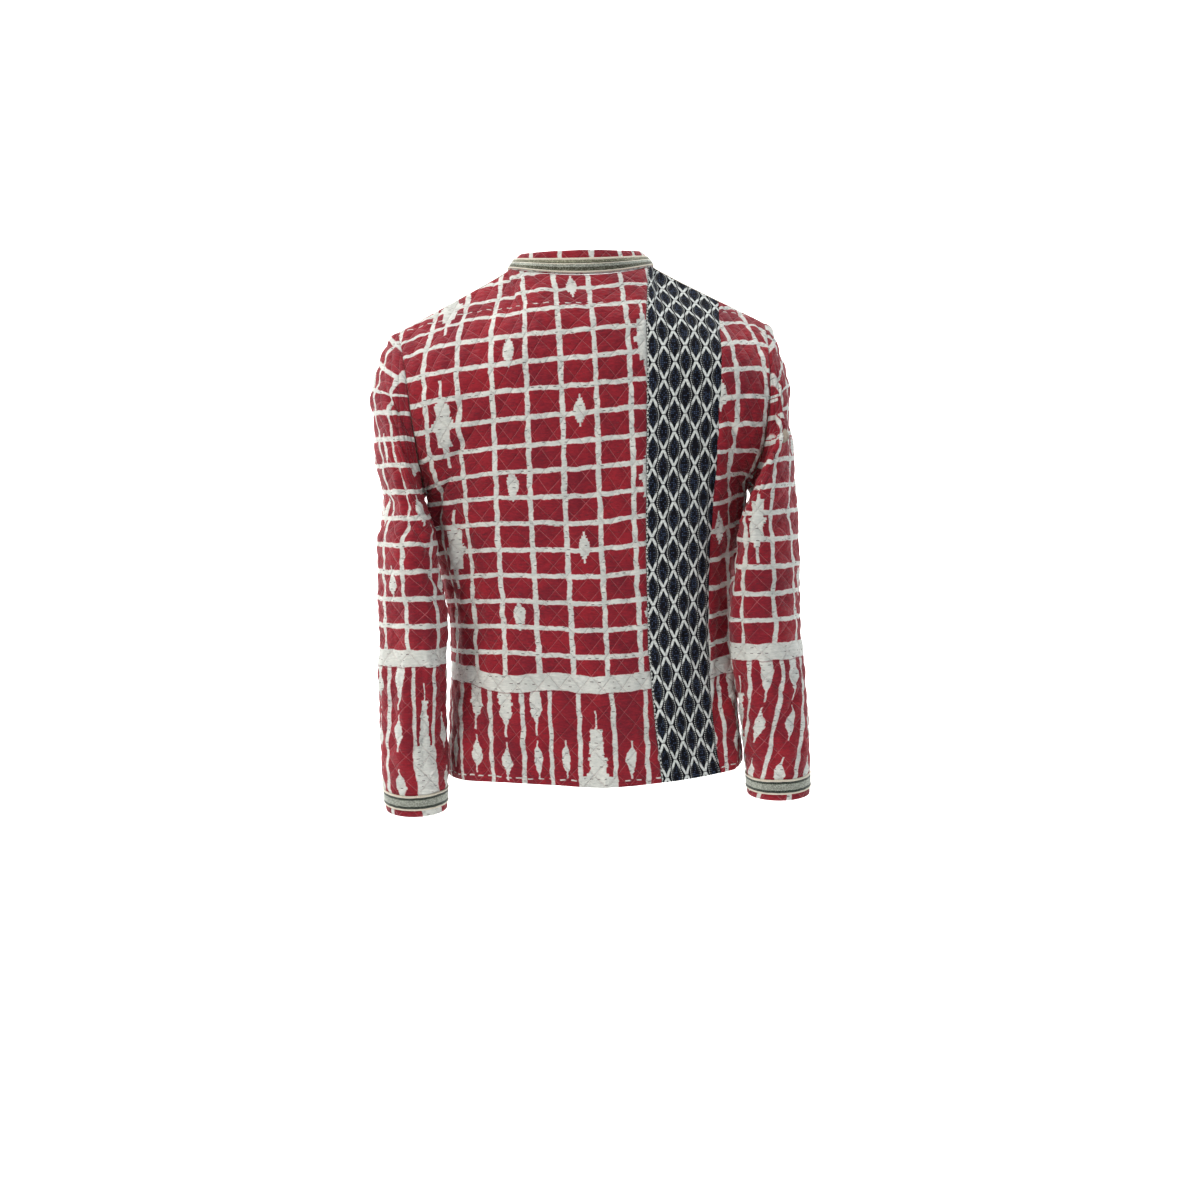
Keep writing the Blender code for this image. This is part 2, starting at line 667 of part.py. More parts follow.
def open_cloth(name, face, inward, puff, colour, first=0, corners=(), thickness=CLOTH):
    """A wall of cloth with four edges. face is a grid of points on its outer side, inward the way
    its thickness goes and puff how far each point stands proud. Braid, which is thinner than
    CLOTH, is as fine inside as outside."""
    rows, columns = face.shape[:2]
    outer = (face - unit(inward) * puff[..., None]).reshape(-1, 3)
    inner = (face + inward * thickness).reshape(-1, 3)
    shift = rows * columns
    low = list(range(columns))
    right = [j * columns + columns - 1 for j in range(1, rows)]
    high = [(rows - 1) * columns + i for i in range(columns - 2, -1, -1)]
    left = [j * columns for j in range(rows - 2, -1, -1)]
    faces = outer_faces(rows, columns, columns - 1, first)
    inside = inner_faces(rows, columns, columns - 1, 2, corners)
    if thickness < CLOTH:
        inside = [one[::-1] for one in faces]
    faces += [[shift + k for k in one] for one in inside]
    points = np.vstack([outer, inner])
    faces += rim_faces(low + right + high + left, shift, points)
    return finish(name, points, faces, colour)


def torso_piece(name, from_column, to_column, front, colour, quilted=True):
    """One piece of the body between two lattice columns, from the hem to the neck and shoulder."""
    columns = np.arange(from_column, to_column + 1)
    rows = np.arange(LOWER_ROWS + UPPER_ROWS + 1)
    v = np.repeat(rows[:, None].astype(float), len(columns), axis=1)
    places = column_places(columns, rows, front)
    drawn = SEAM_GAP / 2 / LATTICE
    u = places.copy()
    for edge, inside in ((0, 1), (-1, -2)):
        if not (front and columns[edge] == 0):
            u[:, edge] += (places[:, inside] - places[:, edge]) * drawn
    v[-1] -= drawn
    point, normal = torso_with_folds(u, v, front)
    inward = -normal

    table = SLEEVE_RIGHT if to_column > 0 and from_column > -COLUMNS else SLEEVE_LEFT
    inward[-1] = top_way(places[-1], front, table)
    if from_column < 0 < to_column:
        right_half = places[-1] > 0
        inward[-1, right_half] = top_way(places[-1], front, SLEEVE_RIGHT)[right_half]
    for edge in (0, -1):
        if abs(columns[edge]) == COLUMNS:
            w = (rows[LOWER_ROWS:] - LOWER_ROWS) / UPPER_ROWS
            way = armhole_way(1 - w / 2 if front else w / 2, table)
            way[:, 0] *= np.sign(columns[edge])
            inward[LOWER_ROWS:, edge] = way
    if front:
        near = np.clip(1 - np.abs(columns) / 4, 0, 1)
        parting = FRONT_PARTING_HEM + (FRONT_PARTING_TOP - FRONT_PARTING_HEM) * rows / rows[-1]
        point[..., 0] += np.outer(parting, near) * np.sign(from_column + to_column)

    j, i = np.meshgrid(rows, columns, indexing="ij")
    puff = np.where((i + j) % 2 != 0, PUFF, 0.0) * quilted
    puff[[0, -1]] = 0
    puff[:, [0, -1]] = 0
    corners = np.flatnonzero(np.abs(columns) == NECK_COLUMNS).tolist()
    return open_cloth(name, point, inward, puff, colour, from_column % 2, corners)


def sleeve_rows():
    """The rows of a sleeve, with its last ones at the edges of the cuff braid."""
    row = (RING_TOP - CUFF) / ARM_ROWS
    end = CAP_ROWS + ARM_ROWS
    braid = end - np.array([BRAID_HIGH, (BRAID_HIGH + BRAID_LOW) / 2, BRAID_LOW, 0.0]) / row
    return np.concatenate([np.arange(0, int(braid[0]) + 1), braid])


def sleeve_grid(rows, turns, table, fold_table, side):
    """(points, inward directions) of one sleeve on a grid of rows and turns."""
    m, turn = np.meshgrid(rows, turns, indexing="ij")
    point, normal = sleeve_with_folds(turn, m, table, fold_table)
    point[..., 0] *= side
    normal[..., 0] *= side
    return point, -normal


def sleeve_piece(name, table, fold_table, side):
    """One sleeve: a tube from the armhole to the cuff. Its first ring has the armhole's own
    points, three steps of them to every two of the rings below it."""
    rows = sleeve_rows()[1:]
    turns = np.arange(SLEEVE_COLUMNS) / SLEEVE_COLUMNS
    face, inward = sleeve_grid(rows, turns, table, fold_table, side)
    j, i = np.meshgrid(np.arange(1, len(rows) + 1), np.arange(SLEEVE_COLUMNS), indexing="ij")
    puff = np.where((i + j) % 2 != 0, PUFF, 0.0)
    puff[-4:] = 0
    puff[:3] *= np.array([0.3, 0.6, 0.9])[:, None]
    underarm = np.exp(-((np.minimum(turns, 1 - turns) / 0.12) ** 2))
    puff[:14] *= 1 - underarm

    seam_turns = np.arange(2 * UPPER_ROWS) / (2 * UPPER_ROWS)
    drawn = np.array([SEAM_GAP / 2 / LATTICE])
    seam = sleeve_grid(drawn, seam_turns, table, fold_table, side)[0][0]
    start = armhole(seam_turns) * np.array([side, 1, 1])
    seam = start + unit(seam - start) * SEAM_GAP / 2
    way = armhole_way(seam_turns, table)
    way[:, 0] *= side

    count = face.shape[0] * SLEEVE_COLUMNS
    outer = (face - inward * puff[..., None]).reshape(-1, 3)
    inner = (face + inward * CLOTH).reshape(-1, 3)
    points = np.vstack([outer, inner, seam, seam + way * CLOTH])
    seam_out = [2 * count + n for n in range(len(seam))]
    seam_in = [k + len(seam) for k in seam_out]
    ring = list(range(SLEEVE_COLUMNS))
    faces = outer_faces(face.shape[0], SLEEVE_COLUMNS, SLEEVE_COLUMNS, 1)
    inside = inner_faces(face.shape[0], SLEEVE_COLUMNS, SLEEVE_COLUMNS, 1)
    faces += [[count + k for k in one] for one in inside]
    faces += band_faces(seam_out, ring, True)
    faces += band_faces(seam_in, [count + k for k in ring], False)
    faces += rim_faces(seam_out + seam_out[:1], len(seam), points)
    cuff = [count - SLEEVE_COLUMNS + k for k in ring]
    faces += [one[::-1] for one in rim_faces(cuff + cuff[:1], count, points)]
    return finish(name, points, faces, RED)


def cuff_braid(name, table, fold_table, side):
    """The braid round a cuff, on the sleeve's own points moved out."""
    rows = sleeve_rows()[-4:-1]
    turns = np.arange(SLEEVE_COLUMNS) / SLEEVE_COLUMNS
    face, inward = sleeve_grid(rows, turns, table, fold_table, side)
    count = face.shape[0] * SLEEVE_COLUMNS
    outer = (face - inward * (BRAID_GAP + BRAID)).reshape(-1, 3)
    inner = (face - inward * BRAID_GAP).reshape(-1, 3)
    ring = list(range(SLEEVE_COLUMNS))
    last = [count - SLEEVE_COLUMNS + k for k in ring]
    split = len(sleeve_rows()) - 4
    faces = outer_faces(face.shape[0], SLEEVE_COLUMNS, SLEEVE_COLUMNS, split)
    faces += [tuple(count + k for k in one[::-1]) for one in faces]
    points = np.vstack([outer, inner])
    faces += rim_faces(ring + ring[:1], count, points)
    faces += [one[::-1] for one in rim_faces(last + last[:1], count, points)]
    return finish(name, points, faces, BRAID_GREY)


def collar_pieces():
    """The stand collar and the braid sewn round its lower part."""
    turns = np.linspace(-1, 1, 4 * NECK_COLUMNS + 1)
    turns[[0, -1]] *= 1 - 0.006
    rise, turn = np.meshgrid(np.array(COLLAR_STANDS), turns, indexing="ij")
    face = collar(turn, rise)
    inward = -collar_normal(turn, np.clip(rise, 0.06, 0.94))
    share = NECK_COLUMNS / COLUMNS
    back = np.abs(turns) <= 0.5
    u = np.where(back, np.abs(turns) * 2, 2 - np.abs(turns) * 2) * share * np.sign(turns)
    way = np.where(back[:, None], top_way(u, False, SLEEVE_RIGHT), top_way(u, True, SLEEVE_RIGHT))
    inward[0] = way
    nought = np.zeros(turn.shape)
    band = open_cloth("collar_band", face, inward, nought, RED)
    out = face[1:4] - inward[1:4] * (BRAID_GAP + BRAID)
    braid = open_cloth(
        "collar_braid", out, inward[1:4], nought[1:4], BRAID_GREY, 1, thickness=BRAID
    )
    return [band, braid]


def main():
    for old in list(bpy.data.objects):
        bpy.data.objects.remove(old)
    torso_piece("back_main", -COLUMNS, STRIP_FROM, False, RED)
    torso_piece("back_strip", STRIP_FROM, STRIP_TO, False, INDIGO, quilted=False)
    torso_piece("back_side", STRIP_TO, COLUMNS, False, RED)
    torso_piece("front_left", -COLUMNS, 0, True, RED)
    torso_piece("front_right", 0, COLUMNS, True, RED)
    sleeve_piece("sleeve_left", SLEEVE_LEFT, LEFT_SLEEVE_FOLDS, -1)
    sleeve_piece("sleeve_right", SLEEVE_RIGHT, RIGHT_SLEEVE_FOLDS, 1)
    cuff_braid("cuff_braid_left", SLEEVE_LEFT, LEFT_SLEEVE_FOLDS, -1)
    cuff_braid("cuff_braid_right", SLEEVE_RIGHT, RIGHT_SLEEVE_FOLDS, 1)
    collar_pieces()


main()
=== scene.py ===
"""A quilted patchwork jacket in the shape it takes on a wearer, open and hollow.

Crimson cotton with an off-white window-pane grid and small ikat lozenges is quilted in
diamonds. A near-black woven strip runs down the back, and metallic braid goes round the
stand collar and the cuffs. +Z is up, the back faces -Y and the wearer's right arm is on +X.
The script runs from top to bottom, one section for each group of pieces, in metres.
"""

import bpy
import mathutils
import numpy as np
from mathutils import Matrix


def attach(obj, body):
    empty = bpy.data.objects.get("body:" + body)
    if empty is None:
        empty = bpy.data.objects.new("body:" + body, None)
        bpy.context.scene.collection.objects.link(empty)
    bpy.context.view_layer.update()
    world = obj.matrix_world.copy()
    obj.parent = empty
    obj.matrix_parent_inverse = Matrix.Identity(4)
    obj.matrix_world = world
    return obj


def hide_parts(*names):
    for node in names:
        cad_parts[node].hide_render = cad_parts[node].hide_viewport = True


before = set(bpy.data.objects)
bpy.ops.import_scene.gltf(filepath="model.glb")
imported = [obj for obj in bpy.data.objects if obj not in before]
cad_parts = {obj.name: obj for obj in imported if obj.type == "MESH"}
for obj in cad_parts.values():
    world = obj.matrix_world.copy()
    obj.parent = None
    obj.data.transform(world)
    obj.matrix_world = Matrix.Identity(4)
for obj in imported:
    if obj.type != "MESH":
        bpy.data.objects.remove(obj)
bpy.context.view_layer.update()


# The quilted body: three pieces of one cloth, two in the back and the two fronts.
# Two layers of thin printed cotton are quilted together by machine in diamonds, with rows of
# running stitch by hand, and sewn to each other at the sides and the shoulders.

# The cloth: its thickness, how far the quilting puffs up, how wide it stays flat beside a seam,
# how deep and wide the groove of the seam is, and half the height of a diamond
CLOTH = 0.0019
PUFF = 0.0021
FLAT_SEAM = 0.0045
SEAM_DEPTH = 0.0006
SEAM_WIDTH = 0.0026
LATTICE = 0.0128

# The quilting's lattice: columns from the middle to each side, rows below and above the
# underarm, and the columns where the woven strip begins and ends
COLUMNS = 19
LOWER_ROWS = 24
UPPER_ROWS = 18
ALL_ROWS = LOWER_ROWS + UPPER_ROWS
STRIP_FROM = 5
STRIP_TO = 12
STRIP_EDGES = np.array([
    # share of the rows from the hem up, x of the strip's left edge, x of its right edge
    (0.00, 0.0635, 0.1368),
    (0.10, 0.0590, 0.1325),
    (0.28, 0.0540, 0.1290),
    (0.42, 0.0535, 0.1305),
    (0.58, 0.0550, 0.1367),
    (0.72, 0.0580, 0.1420),
    (0.87, 0.0630, 0.1495),
    (1.00, 0.0757, 0.1600),
])

# Heights and places of the hem, the neck and the tip of the shoulder
HEM = -0.591
UNDERARM = -0.255
FRONT_HEM_DROP = 0.014
BACK_NECK = -0.011
FRONT_NECK = -0.085
SHOULDER_TIP = -0.068
NECK_HALF = 0.084
NECK_SIDE_Y = -0.010
NECK_BACK_Y = -0.058
NECK_FRONT_Y = 0.083
NECK_COLUMNS = 7
TIP_X = 0.2135
TIP_Y = -0.008
SHOULDER_STEEP = 0.0015
FULLNESS = 0.13
FRONT_PARTING_TOP = 0.0012
FRONT_PARTING_HEM = 0.0050

# Torso below the arms: one row for each height
TORSO = np.array([
    # height, half width, back depth, front depth
    (-0.610, 0.1750, 0.1130, 0.1300),
    (-0.540, 0.1700, 0.1080, 0.1310),
    (-0.480, 0.1650, 0.1040, 0.1300),
    (-0.430, 0.1630, 0.1030, 0.1290),
    (-0.350, 0.1720, 0.1080, 0.1310),
    (-0.300, 0.1815, 0.1140, 0.1340),
    (-0.255, 0.1860, 0.1190, 0.1370),
])

# The back hem's unevenness, and the two fronts' with it at the side seams
HEM_LINE = np.array([
    # share across from the left side to the right, rise
    (-1.00, 0.0090),
    (-0.50, 0.0100),
    (-0.25, 0.0060),
    (0.00, 0.0012),
    (0.27, 0.0030),
    (0.60, 0.0070),
    (1.00, 0.0150),
])

# Middle of the back and of the front above the arms, from the underarm row up to the neck
CENTRE_BACK = np.array([
    # share of the way up, y
    (0.00, -0.1190),
    (0.25, -0.1225),
    (0.50, -0.1200),
    (0.70, -0.1090),
    (0.88, -0.0820),
    (1.00, NECK_BACK_Y),
])
CENTRE_FRONT = np.array([
    # share of the way up, y
    (0.00, 0.1370),
    (0.25, 0.1370),
    (0.50, 0.1300),
    (0.75, 0.1130),
    (1.00, NECK_FRONT_Y),
])

# The armhole from the underarm up to the tip of the shoulder
ARMHOLE_BACK = np.array([
    # share of the way along, x, y, height
    (0.000, 0.1860, 0.0000, UNDERARM),
    (0.104, 0.1900, -0.0260, -0.248),
    (0.228, 0.1945, -0.0520, -0.230),
    (0.371, 0.1990, -0.0730, -0.200),
    (0.529, 0.2040, -0.0790, -0.160),
    (0.691, 0.2075, -0.0670, -0.120),
    (0.842, 0.2105, -0.0420, -0.090),
    (1.000, TIP_X, TIP_Y, SHOULDER_TIP),
])
ARMHOLE_FRONT = np.array([
    # share of the way along, x, y, height
    (0.000, 0.1860, 0.0000, UNDERARM),
    (0.098, 0.1865, 0.0240, -0.248),
    (0.209, 0.1875, 0.0450, -0.230),
    (0.343, 0.1890, 0.0610, -0.200),
    (0.502, 0.1920, 0.0660, -0.160),
    (0.667, 0.1990, 0.0550, -0.120),
    (0.819, 0.2065, 0.0320, -0.090),
    (1.000, TIP_X, TIP_Y, SHOULDER_TIP),
])

# Folds, in millimetres and degrees: soft ridges, and troughs where the depth is below 0
FOLD_UNITS = np.array([0.001, 0.001, 1, 0.001, 0.001, 0.001])
BACK_FOLDS = np.array([
    # across, height, turn, length, width, depth
    (-165, -335, -12, 110, 22, -5),
    (-205, -300, -22, 80, 20, 3.5),
    (-120, -560, -4, 100, 30, 4.5),
    (-50, -570, 2, 90, 28, -3),
    (30, -560, 3, 110, 32, 4),
    (120, -560, 8, 120, 28, -4.5),
    (185, -500, 10, 160, 22, 4),
    (175, -300, 20, 100, 22, -4.5),
    (-150, -165, 55, 70, 22, -3),
    (140, -170, -50, 80, 22, -3),
    (0, -430, 90, 120, 30, -3),
])
FRONT_FOLDS = np.array([
    # across, height, turn, length, width, depth
    (50, -540, 3, 130, 26, 4.5),
    (110, -540, 6, 140, 26, -4.5),
    (170, -500, 10, 160, 24, 4.5),
    (185, -300, 25, 90, 22, -4.5),
    (130, -190, -50, 70, 22, -3),
    (80, -420, 80, 100, 30, -3),
])
# Creases too fine for the folds above, in the same columns: how the cloth lies at the arms,
# over the waist and above the hem
BACK_CREASES = np.array([
    # across, height, turn, length, width, depth
    (-30, -513, 88, 110, 5, -1.4),
    (170, -508, 92, 40, 5, -1.4),
    (-188, -158, 62, 32, 8, -4.9),
    (-180, -178, 58, 34, 8, 3.2),
    (-190, -205, 48, 34, 7, -3.8),
    (-200, -250, 14, 45, 7, -4.3),
    (-185, -300, -10, 70, 8, 3.2),
    (-198, -370, -6, 80, 8, -4.1),
    (-160, -470, -8, 70, 9, -3.2),
    (-180, -530, -5, 60, 9, 4.1),
    (-140, -545, -3, 55, 9, -3.8),
    (-100, -550, 2, 55, 11, 3.2),
    (-60, -560, 4, 45, 10, -2.6),
    (0, -565, -4, 45, 12, 2.3),
    (50, -550, 3, 55, 10, -2.3),
    (155, -470, 7, 90, 8, -4.6),
    (172, -530, 5, 70, 7, 3.8),
    (196, -440, 8, 110, 7, -4.3),
    (190, -182, -34, 34, 7, -4.9),
    (186, -205, -52, 30, 7, 3.5),
    (180, -235, 22, 45, 7, -4.9),
    (165, -290, 12, 60, 8, 3.2),
    (200, -320, 6, 70, 7, -4.1),
    (-60, -36, 82, 50, 8, -1.1),
    (20, -30, 94, 40, 7, -1),
    (0, -330, 86, 90, 14, -1.2),
    (-80, -395, 80, 70, 12, -1.4),
    (30, -445, 96, 80, 10, 1.2),
    (-120, -250, 74, 60, 12, -1.2),
    (-225, -285, 4, 45, 12, 5.2),
])
FRONT_CREASES = np.array([
    # across, height, turn, length, width, depth
    (188, -165, -60, 34, 8, -4.6),
    (182, -190, -54, 34, 8, 3.2),
    (192, -235, -20, 45, 7, -4.3),
    (185, -330, 8, 80, 8, -3.8),
    (150, -500, 4, 80, 9, -3.8),
    (120, -545, -3, 60, 9, 3.2),
    (80, -550, 3, 60, 10, -3.2),
    (40, -560, 5, 60, 9, 2.6),
    (70, -515, 90, 70, 5, -1.2),
    (100, -360, 78, 60, 12, -1.4),
    (60, -250, 100, 60, 12, -1.2),
])

# How far the wide white band at the top of the border rises and falls round the body
BAND_WAVE = np.array([
    # metres from the centre back, rise
    (-0.210, 0.0065),
    (-0.161, 0.0040),
    (-0.130, -0.0025),
    (-0.105, -0.0055),
    (-0.054, 0.0010),
    (-0.007, -0.0005),
    (0.034, 0.0005),
    (0.133, 0.0025),
    (0.210, 0.0060),
])

# The border's stripes: metres from the centre back to those numbered -7 to 7
STRIPES = np.array([
    -0.2510, -0.2120, -0.1734, -0.1297, -0.0912, -0.0606, -0.0282, 0.0106,
    0.0484, 0.0860, 0.1240, 0.1500, 0.1840, 0.2220, 0.2600,
])


def stretch(stations, at):
    """The number of the stretch between two stations that `at` is in, and its share of it."""
    k = np.clip(np.searchsorted(stations, at, side="right") - 1, 0, len(stations) - 2)
    return k, (at - stations[k]) / (stations[k + 1] - stations[k])


def cubic(t, start, leaving, end, arriving):
    """A cubic curve at the share t: its two ends, and its direction times its length at each."""
    first = (1 + 2 * t) * (1 - t) ** 2 * start + t * (1 - t) ** 2 * leaving
    return first + t**2 * (3 - 2 * t) * end - t**2 * (1 - t) * arriving


def through(stations, values, at):
    """A smooth curve through (stations, values), read at `at`: cubic pieces that don't overshoot,
    as the slope at a station is twice the product of its neighbours' over their sum."""
    rise = np.diff(values) / np.diff(stations)
    slope = np.zeros(len(values))
    same_way = rise[:-1] * rise[1:] > 0
    safe = np.where(same_way, rise[:-1] + rise[1:], 1.0)
    slope[1:-1] = np.where(same_way, 2 * rise[:-1] * rise[1:] / safe, 0.0)
    slope[[0, -1]] = rise[[0, -1]]
    at = np.clip(at, stations[0], stations[-1])
    k, t = stretch(stations, at)
    step = np.diff(stations)[k]
    return cubic(t, values[k], step * slope[k], values[k + 1], step * slope[k + 1])


def column(table, number, at):
    """One column of a section table, read smoothly against its first column."""
    return through(table[:, 0], table[:, number], at)


def ease(low, high, at):
    """0 below low, 1 above high, and an S-shaped curve between them."""
    t = np.clip((at - low) / (high - low), 0, 1)
    return t * t * (3 - 2 * t)


def bell(distance, width):
    """1 at no distance, 0.37 at one width, and next to nothing beyond two."""
    return np.exp(-((distance / width) ** 2))


def unit(vectors):
    """The same directions at length 1."""
    return vectors / np.linalg.norm(vectors, axis=-1, keepdims=True)


def folds(table, across, height):
    """The sum of soft ridges and troughs, each a bell across its line times a bell along it."""
    total = np.zeros(np.broadcast(across, height).shape)
    for place, level, turn, length, width, depth in table * FOLD_UNITS:
        angle = np.radians(turn)
        dx, dz = across - place, height - level
        off = dx * np.cos(angle) - dz * np.sin(angle)
        along = dx * np.sin(angle) + dz * np.cos(angle)
        total = total + depth * bell(off, width) * bell(along, length)
    return total


def rounded(phi):
    """How far across and how far out a ring is at the angle phi from its middle: the sine and the
    cosine, made fuller in between."""
    across = np.sin(phi) * (1 + FULLNESS * np.cos(phi) ** 2)
    out = np.cos(phi) * (1 + FULLNESS * np.sin(phi) ** 2)
    return across, out


def half_ring(u, half_width, depth):
    """A rounded half ring from the middle (u = 0) to the side (u = 1), with even steps along it.
    Gives the shares of the half width and of the depth."""
    psi = u * np.pi / 2
    even = np.sqrt(depth / half_width)
    return rounded(np.arctan2(even * np.sin(psi), np.cos(psi)))


def cut_ring(u, edge_x, edge_y, middle_y):
    """The same ring where the armhole cuts it short: (x, y) from the middle (u = 0) to the
    armhole's own point (u = 1)."""
    phi = np.linspace(0, np.pi / 2, 400)
    across, out = rounded(phi)
    share = np.clip(edge_y / middle_y, 0, 1)
    end = np.interp(-share, -out, phi)
    half_width = edge_x / np.interp(end, phi, across)
    even = np.sqrt(np.abs(middle_y) / half_width)
    psi = u * np.arctan2(np.sin(end), even * np.cos(end))
    across, out = rounded(np.arctan2(even * np.sin(psi), np.cos(psi)))
    return half_width * across, middle_y * out


def top_line(u, front):
    """The seam at the top of a piece: the neck from the middle to its side, then the shoulder."""
    share = NECK_COLUMNS / COLUMNS
    turn = np.clip(u / share, 0, 1) * np.pi / 2
    middle_y, middle_z = (NECK_FRONT_Y, FRONT_NECK) if front else (NECK_BACK_Y, BACK_NECK)
    shoulder = np.clip((u - share) / (1 - share), 0, 1)
    x = NECK_HALF * np.sin(turn) + (TIP_X - NECK_HALF) * shoulder
    power = 1.25 if front else 2.0
    y = NECK_SIDE_Y + (middle_y - NECK_SIDE_Y) * np.cos(turn) + (TIP_Y - NECK_SIDE_Y) * shoulder
    steep = SHOULDER_STEEP * np.sin(np.pi * np.sqrt(shoulder))
    z = middle_z * np.cos(turn) ** power + SHOULDER_TIP * shoulder - steep
    return np.stack([x, y, z], -1)


def body(u, v, front):
    """A point of the body. u runs from the middle (0) to the right side (1) and left (-1), v in
    lattice rows from the hem by the underarm to the neck and shoulder. Below the arms each row
    is a rounded half ring; above, the ring is cut by the armhole and eases into the top seam."""
    u = np.clip(u, -1, 1)
    v = np.clip(v, 0, ALL_ROWS)
    side = np.sign(u) + (u == 0)
    hem = HEM + (column(HEM_LINE, 1, side) if front else column(HEM_LINE, 1, u))
    u = np.abs(u)
    if front:
        hem = hem - FRONT_HEM_DROP * ease(0, 0.35, 1 - u)
    low = np.clip(v / LOWER_ROWS, 0, 1)
    height = hem + (UNDERARM - hem) * low
    half_width = column(TORSO, 1, height)
    depth = column(TORSO, 3 if front else 2, height)
    across, out = half_ring(u, half_width, depth)
    sign = 1.0 if front else -1.0
    lower = np.stack([half_width * across, sign * depth * out, height], -1)

    w = np.clip((v - LOWER_ROWS) / UPPER_ROWS, 0, 1)
    edge = ARMHOLE_FRONT if front else ARMHOLE_BACK
    edge_x, edge_y, edge_z = (column(edge, n, w) for n in (1, 2, 3))
    middle_y = column(CENTRE_FRONT if front else CENTRE_BACK, 1, w)
    ring_x, ring_y = cut_ring(u, edge_x, edge_y, middle_y)
    top = top_line(u, front)
    far_middle = middle_y - (NECK_FRONT_Y if front else NECK_BACK_Y)
    far_edge = edge_y - TIP_Y
    top_y = top[..., 1] + far_middle + (far_edge - far_middle) * u**2
    near_top = ease(0.40, 1.0, w) ** 1.4
    x = ring_x + (top[..., 0] * edge_x / TIP_X - ring_x) * near_top
    y = ring_y + (top_y - ring_y) * near_top
    edge_rise = (edge_z - UNDERARM) / (SHOULDER_TIP - UNDERARM)
    rise = w + (edge_rise - w) * u**2 + 0.08 * np.sin(np.pi * w) * (1 - u)
    z = UNDERARM + (top[..., 2] - UNDERARM) * rise
    upper = np.stack([x, y, z], -1)
    point = np.where((v <= LOWER_ROWS)[..., None], lower, upper)
    point[..., 0] *= side
    return point


def body_out(u, v, front):
    """Unit directions straight out of the body: across the steps along u and along v."""
    du = body(u + 2e-3, v, front) - body(u - 2e-3, v, front)
    dv = body(u, v + 0.03, front) - body(u, v - 0.03, front)
    return unit(np.cross(du, dv)) * (-1.0 if front else 1.0)


def body_places(columns, rows):
    """u for every row and lattice column of the back. The strip's edges have their own x on each
    row, found by halving an interval until it holds them; the other columns share the rest."""
    share = rows / ALL_ROWS

    def place_of(x):
        """u of each row's point that is x to the right of the middle."""
        low, high = np.zeros(len(rows)), np.ones(len(rows))
        for _ in range(26):
            middle = (low + high) / 2
            beyond = body(middle, rows, False)[:, 0] > x
            low, high = np.where(beyond, low, middle), np.where(beyond, middle, high)
        return (low + high) / 2

    first = place_of(column(STRIP_EDGES, 1, share))
    second = place_of(column(STRIP_EDGES, 2, share))
    between = first + (second - first) * (NECK_COLUMNS - STRIP_FROM) / (STRIP_TO - STRIP_FROM)
    neck = between + (NECK_COLUMNS / COLUMNS - between) * ease(0.80, 1.0, share)
    stops = np.array([-COLUMNS, 0, STRIP_FROM, NECK_COLUMNS, STRIP_TO, COLUMNS])
    one = np.ones(len(rows))
    values = np.stack([-one, 0 * one, first, neck, second, one], 1)
    k, t = stretch(stops, columns)
    return values[:, k] * (1 - t) + values[:, k + 1] * t


def grid_out(points):
    """Unit directions straight out of a grid of points, from the steps along its two ways."""
    return unit(np.cross(np.gradient(points, axis=1), np.gradient(points, axis=0)))


def pillows(i, j):
    """How high the quilting stands between its stitch lines, 0 to 1: the product of a sine
    across each of the two sets of diagonals, with its top made rounder."""
    a = np.abs(np.sin(np.pi * (i + j) / 2))
    b = np.abs(np.sin(np.pi * (i - j) / 2))
    return (a * b) ** 0.62


def ripples(across, up):
    """Slow unevenness of washed cotton, in metres: three long waves at odd angles."""
    first = np.sin(across * 61 + 1.9 * np.sin(up * 37))
    second = np.sin(up * 83 + across * 47 + 1.3)
    third = np.sin(across * 149 - up * 121 + 2.1 * np.sin(across * 53))
    return 0.0006 * first + 0.0005 * second + 0.0003 * third


def lengths(points):
    """Metres along the cloth at each point of a grid: round it, level, from its first column,
    and up it from its first row, leaving out what the grid's own columns move sideways."""
    step = np.diff(points, axis=1)
    level = np.hypot(step[..., 0], step[..., 1])
    around = np.concatenate([np.zeros((len(points), 1)), np.cumsum(level, 1)], 1)
    step = np.diff(points, axis=0)
    rise = np.hypot(step[..., 1], step[..., 2])
    up = np.concatenate([np.zeros((1, points.shape[1])), np.cumsum(rise, 0)], 0)
    return around, up


def from_middle(around):
    """The same metres round, counted from the middle column."""
    return around - around[:, around.shape[1] // 2][:, None]


def placed(name, data):
    """An object made of some data, in the scene."""
    made = bpy.data.objects.new(name, data)
    bpy.context.scene.collection.objects.link(made)
    return made


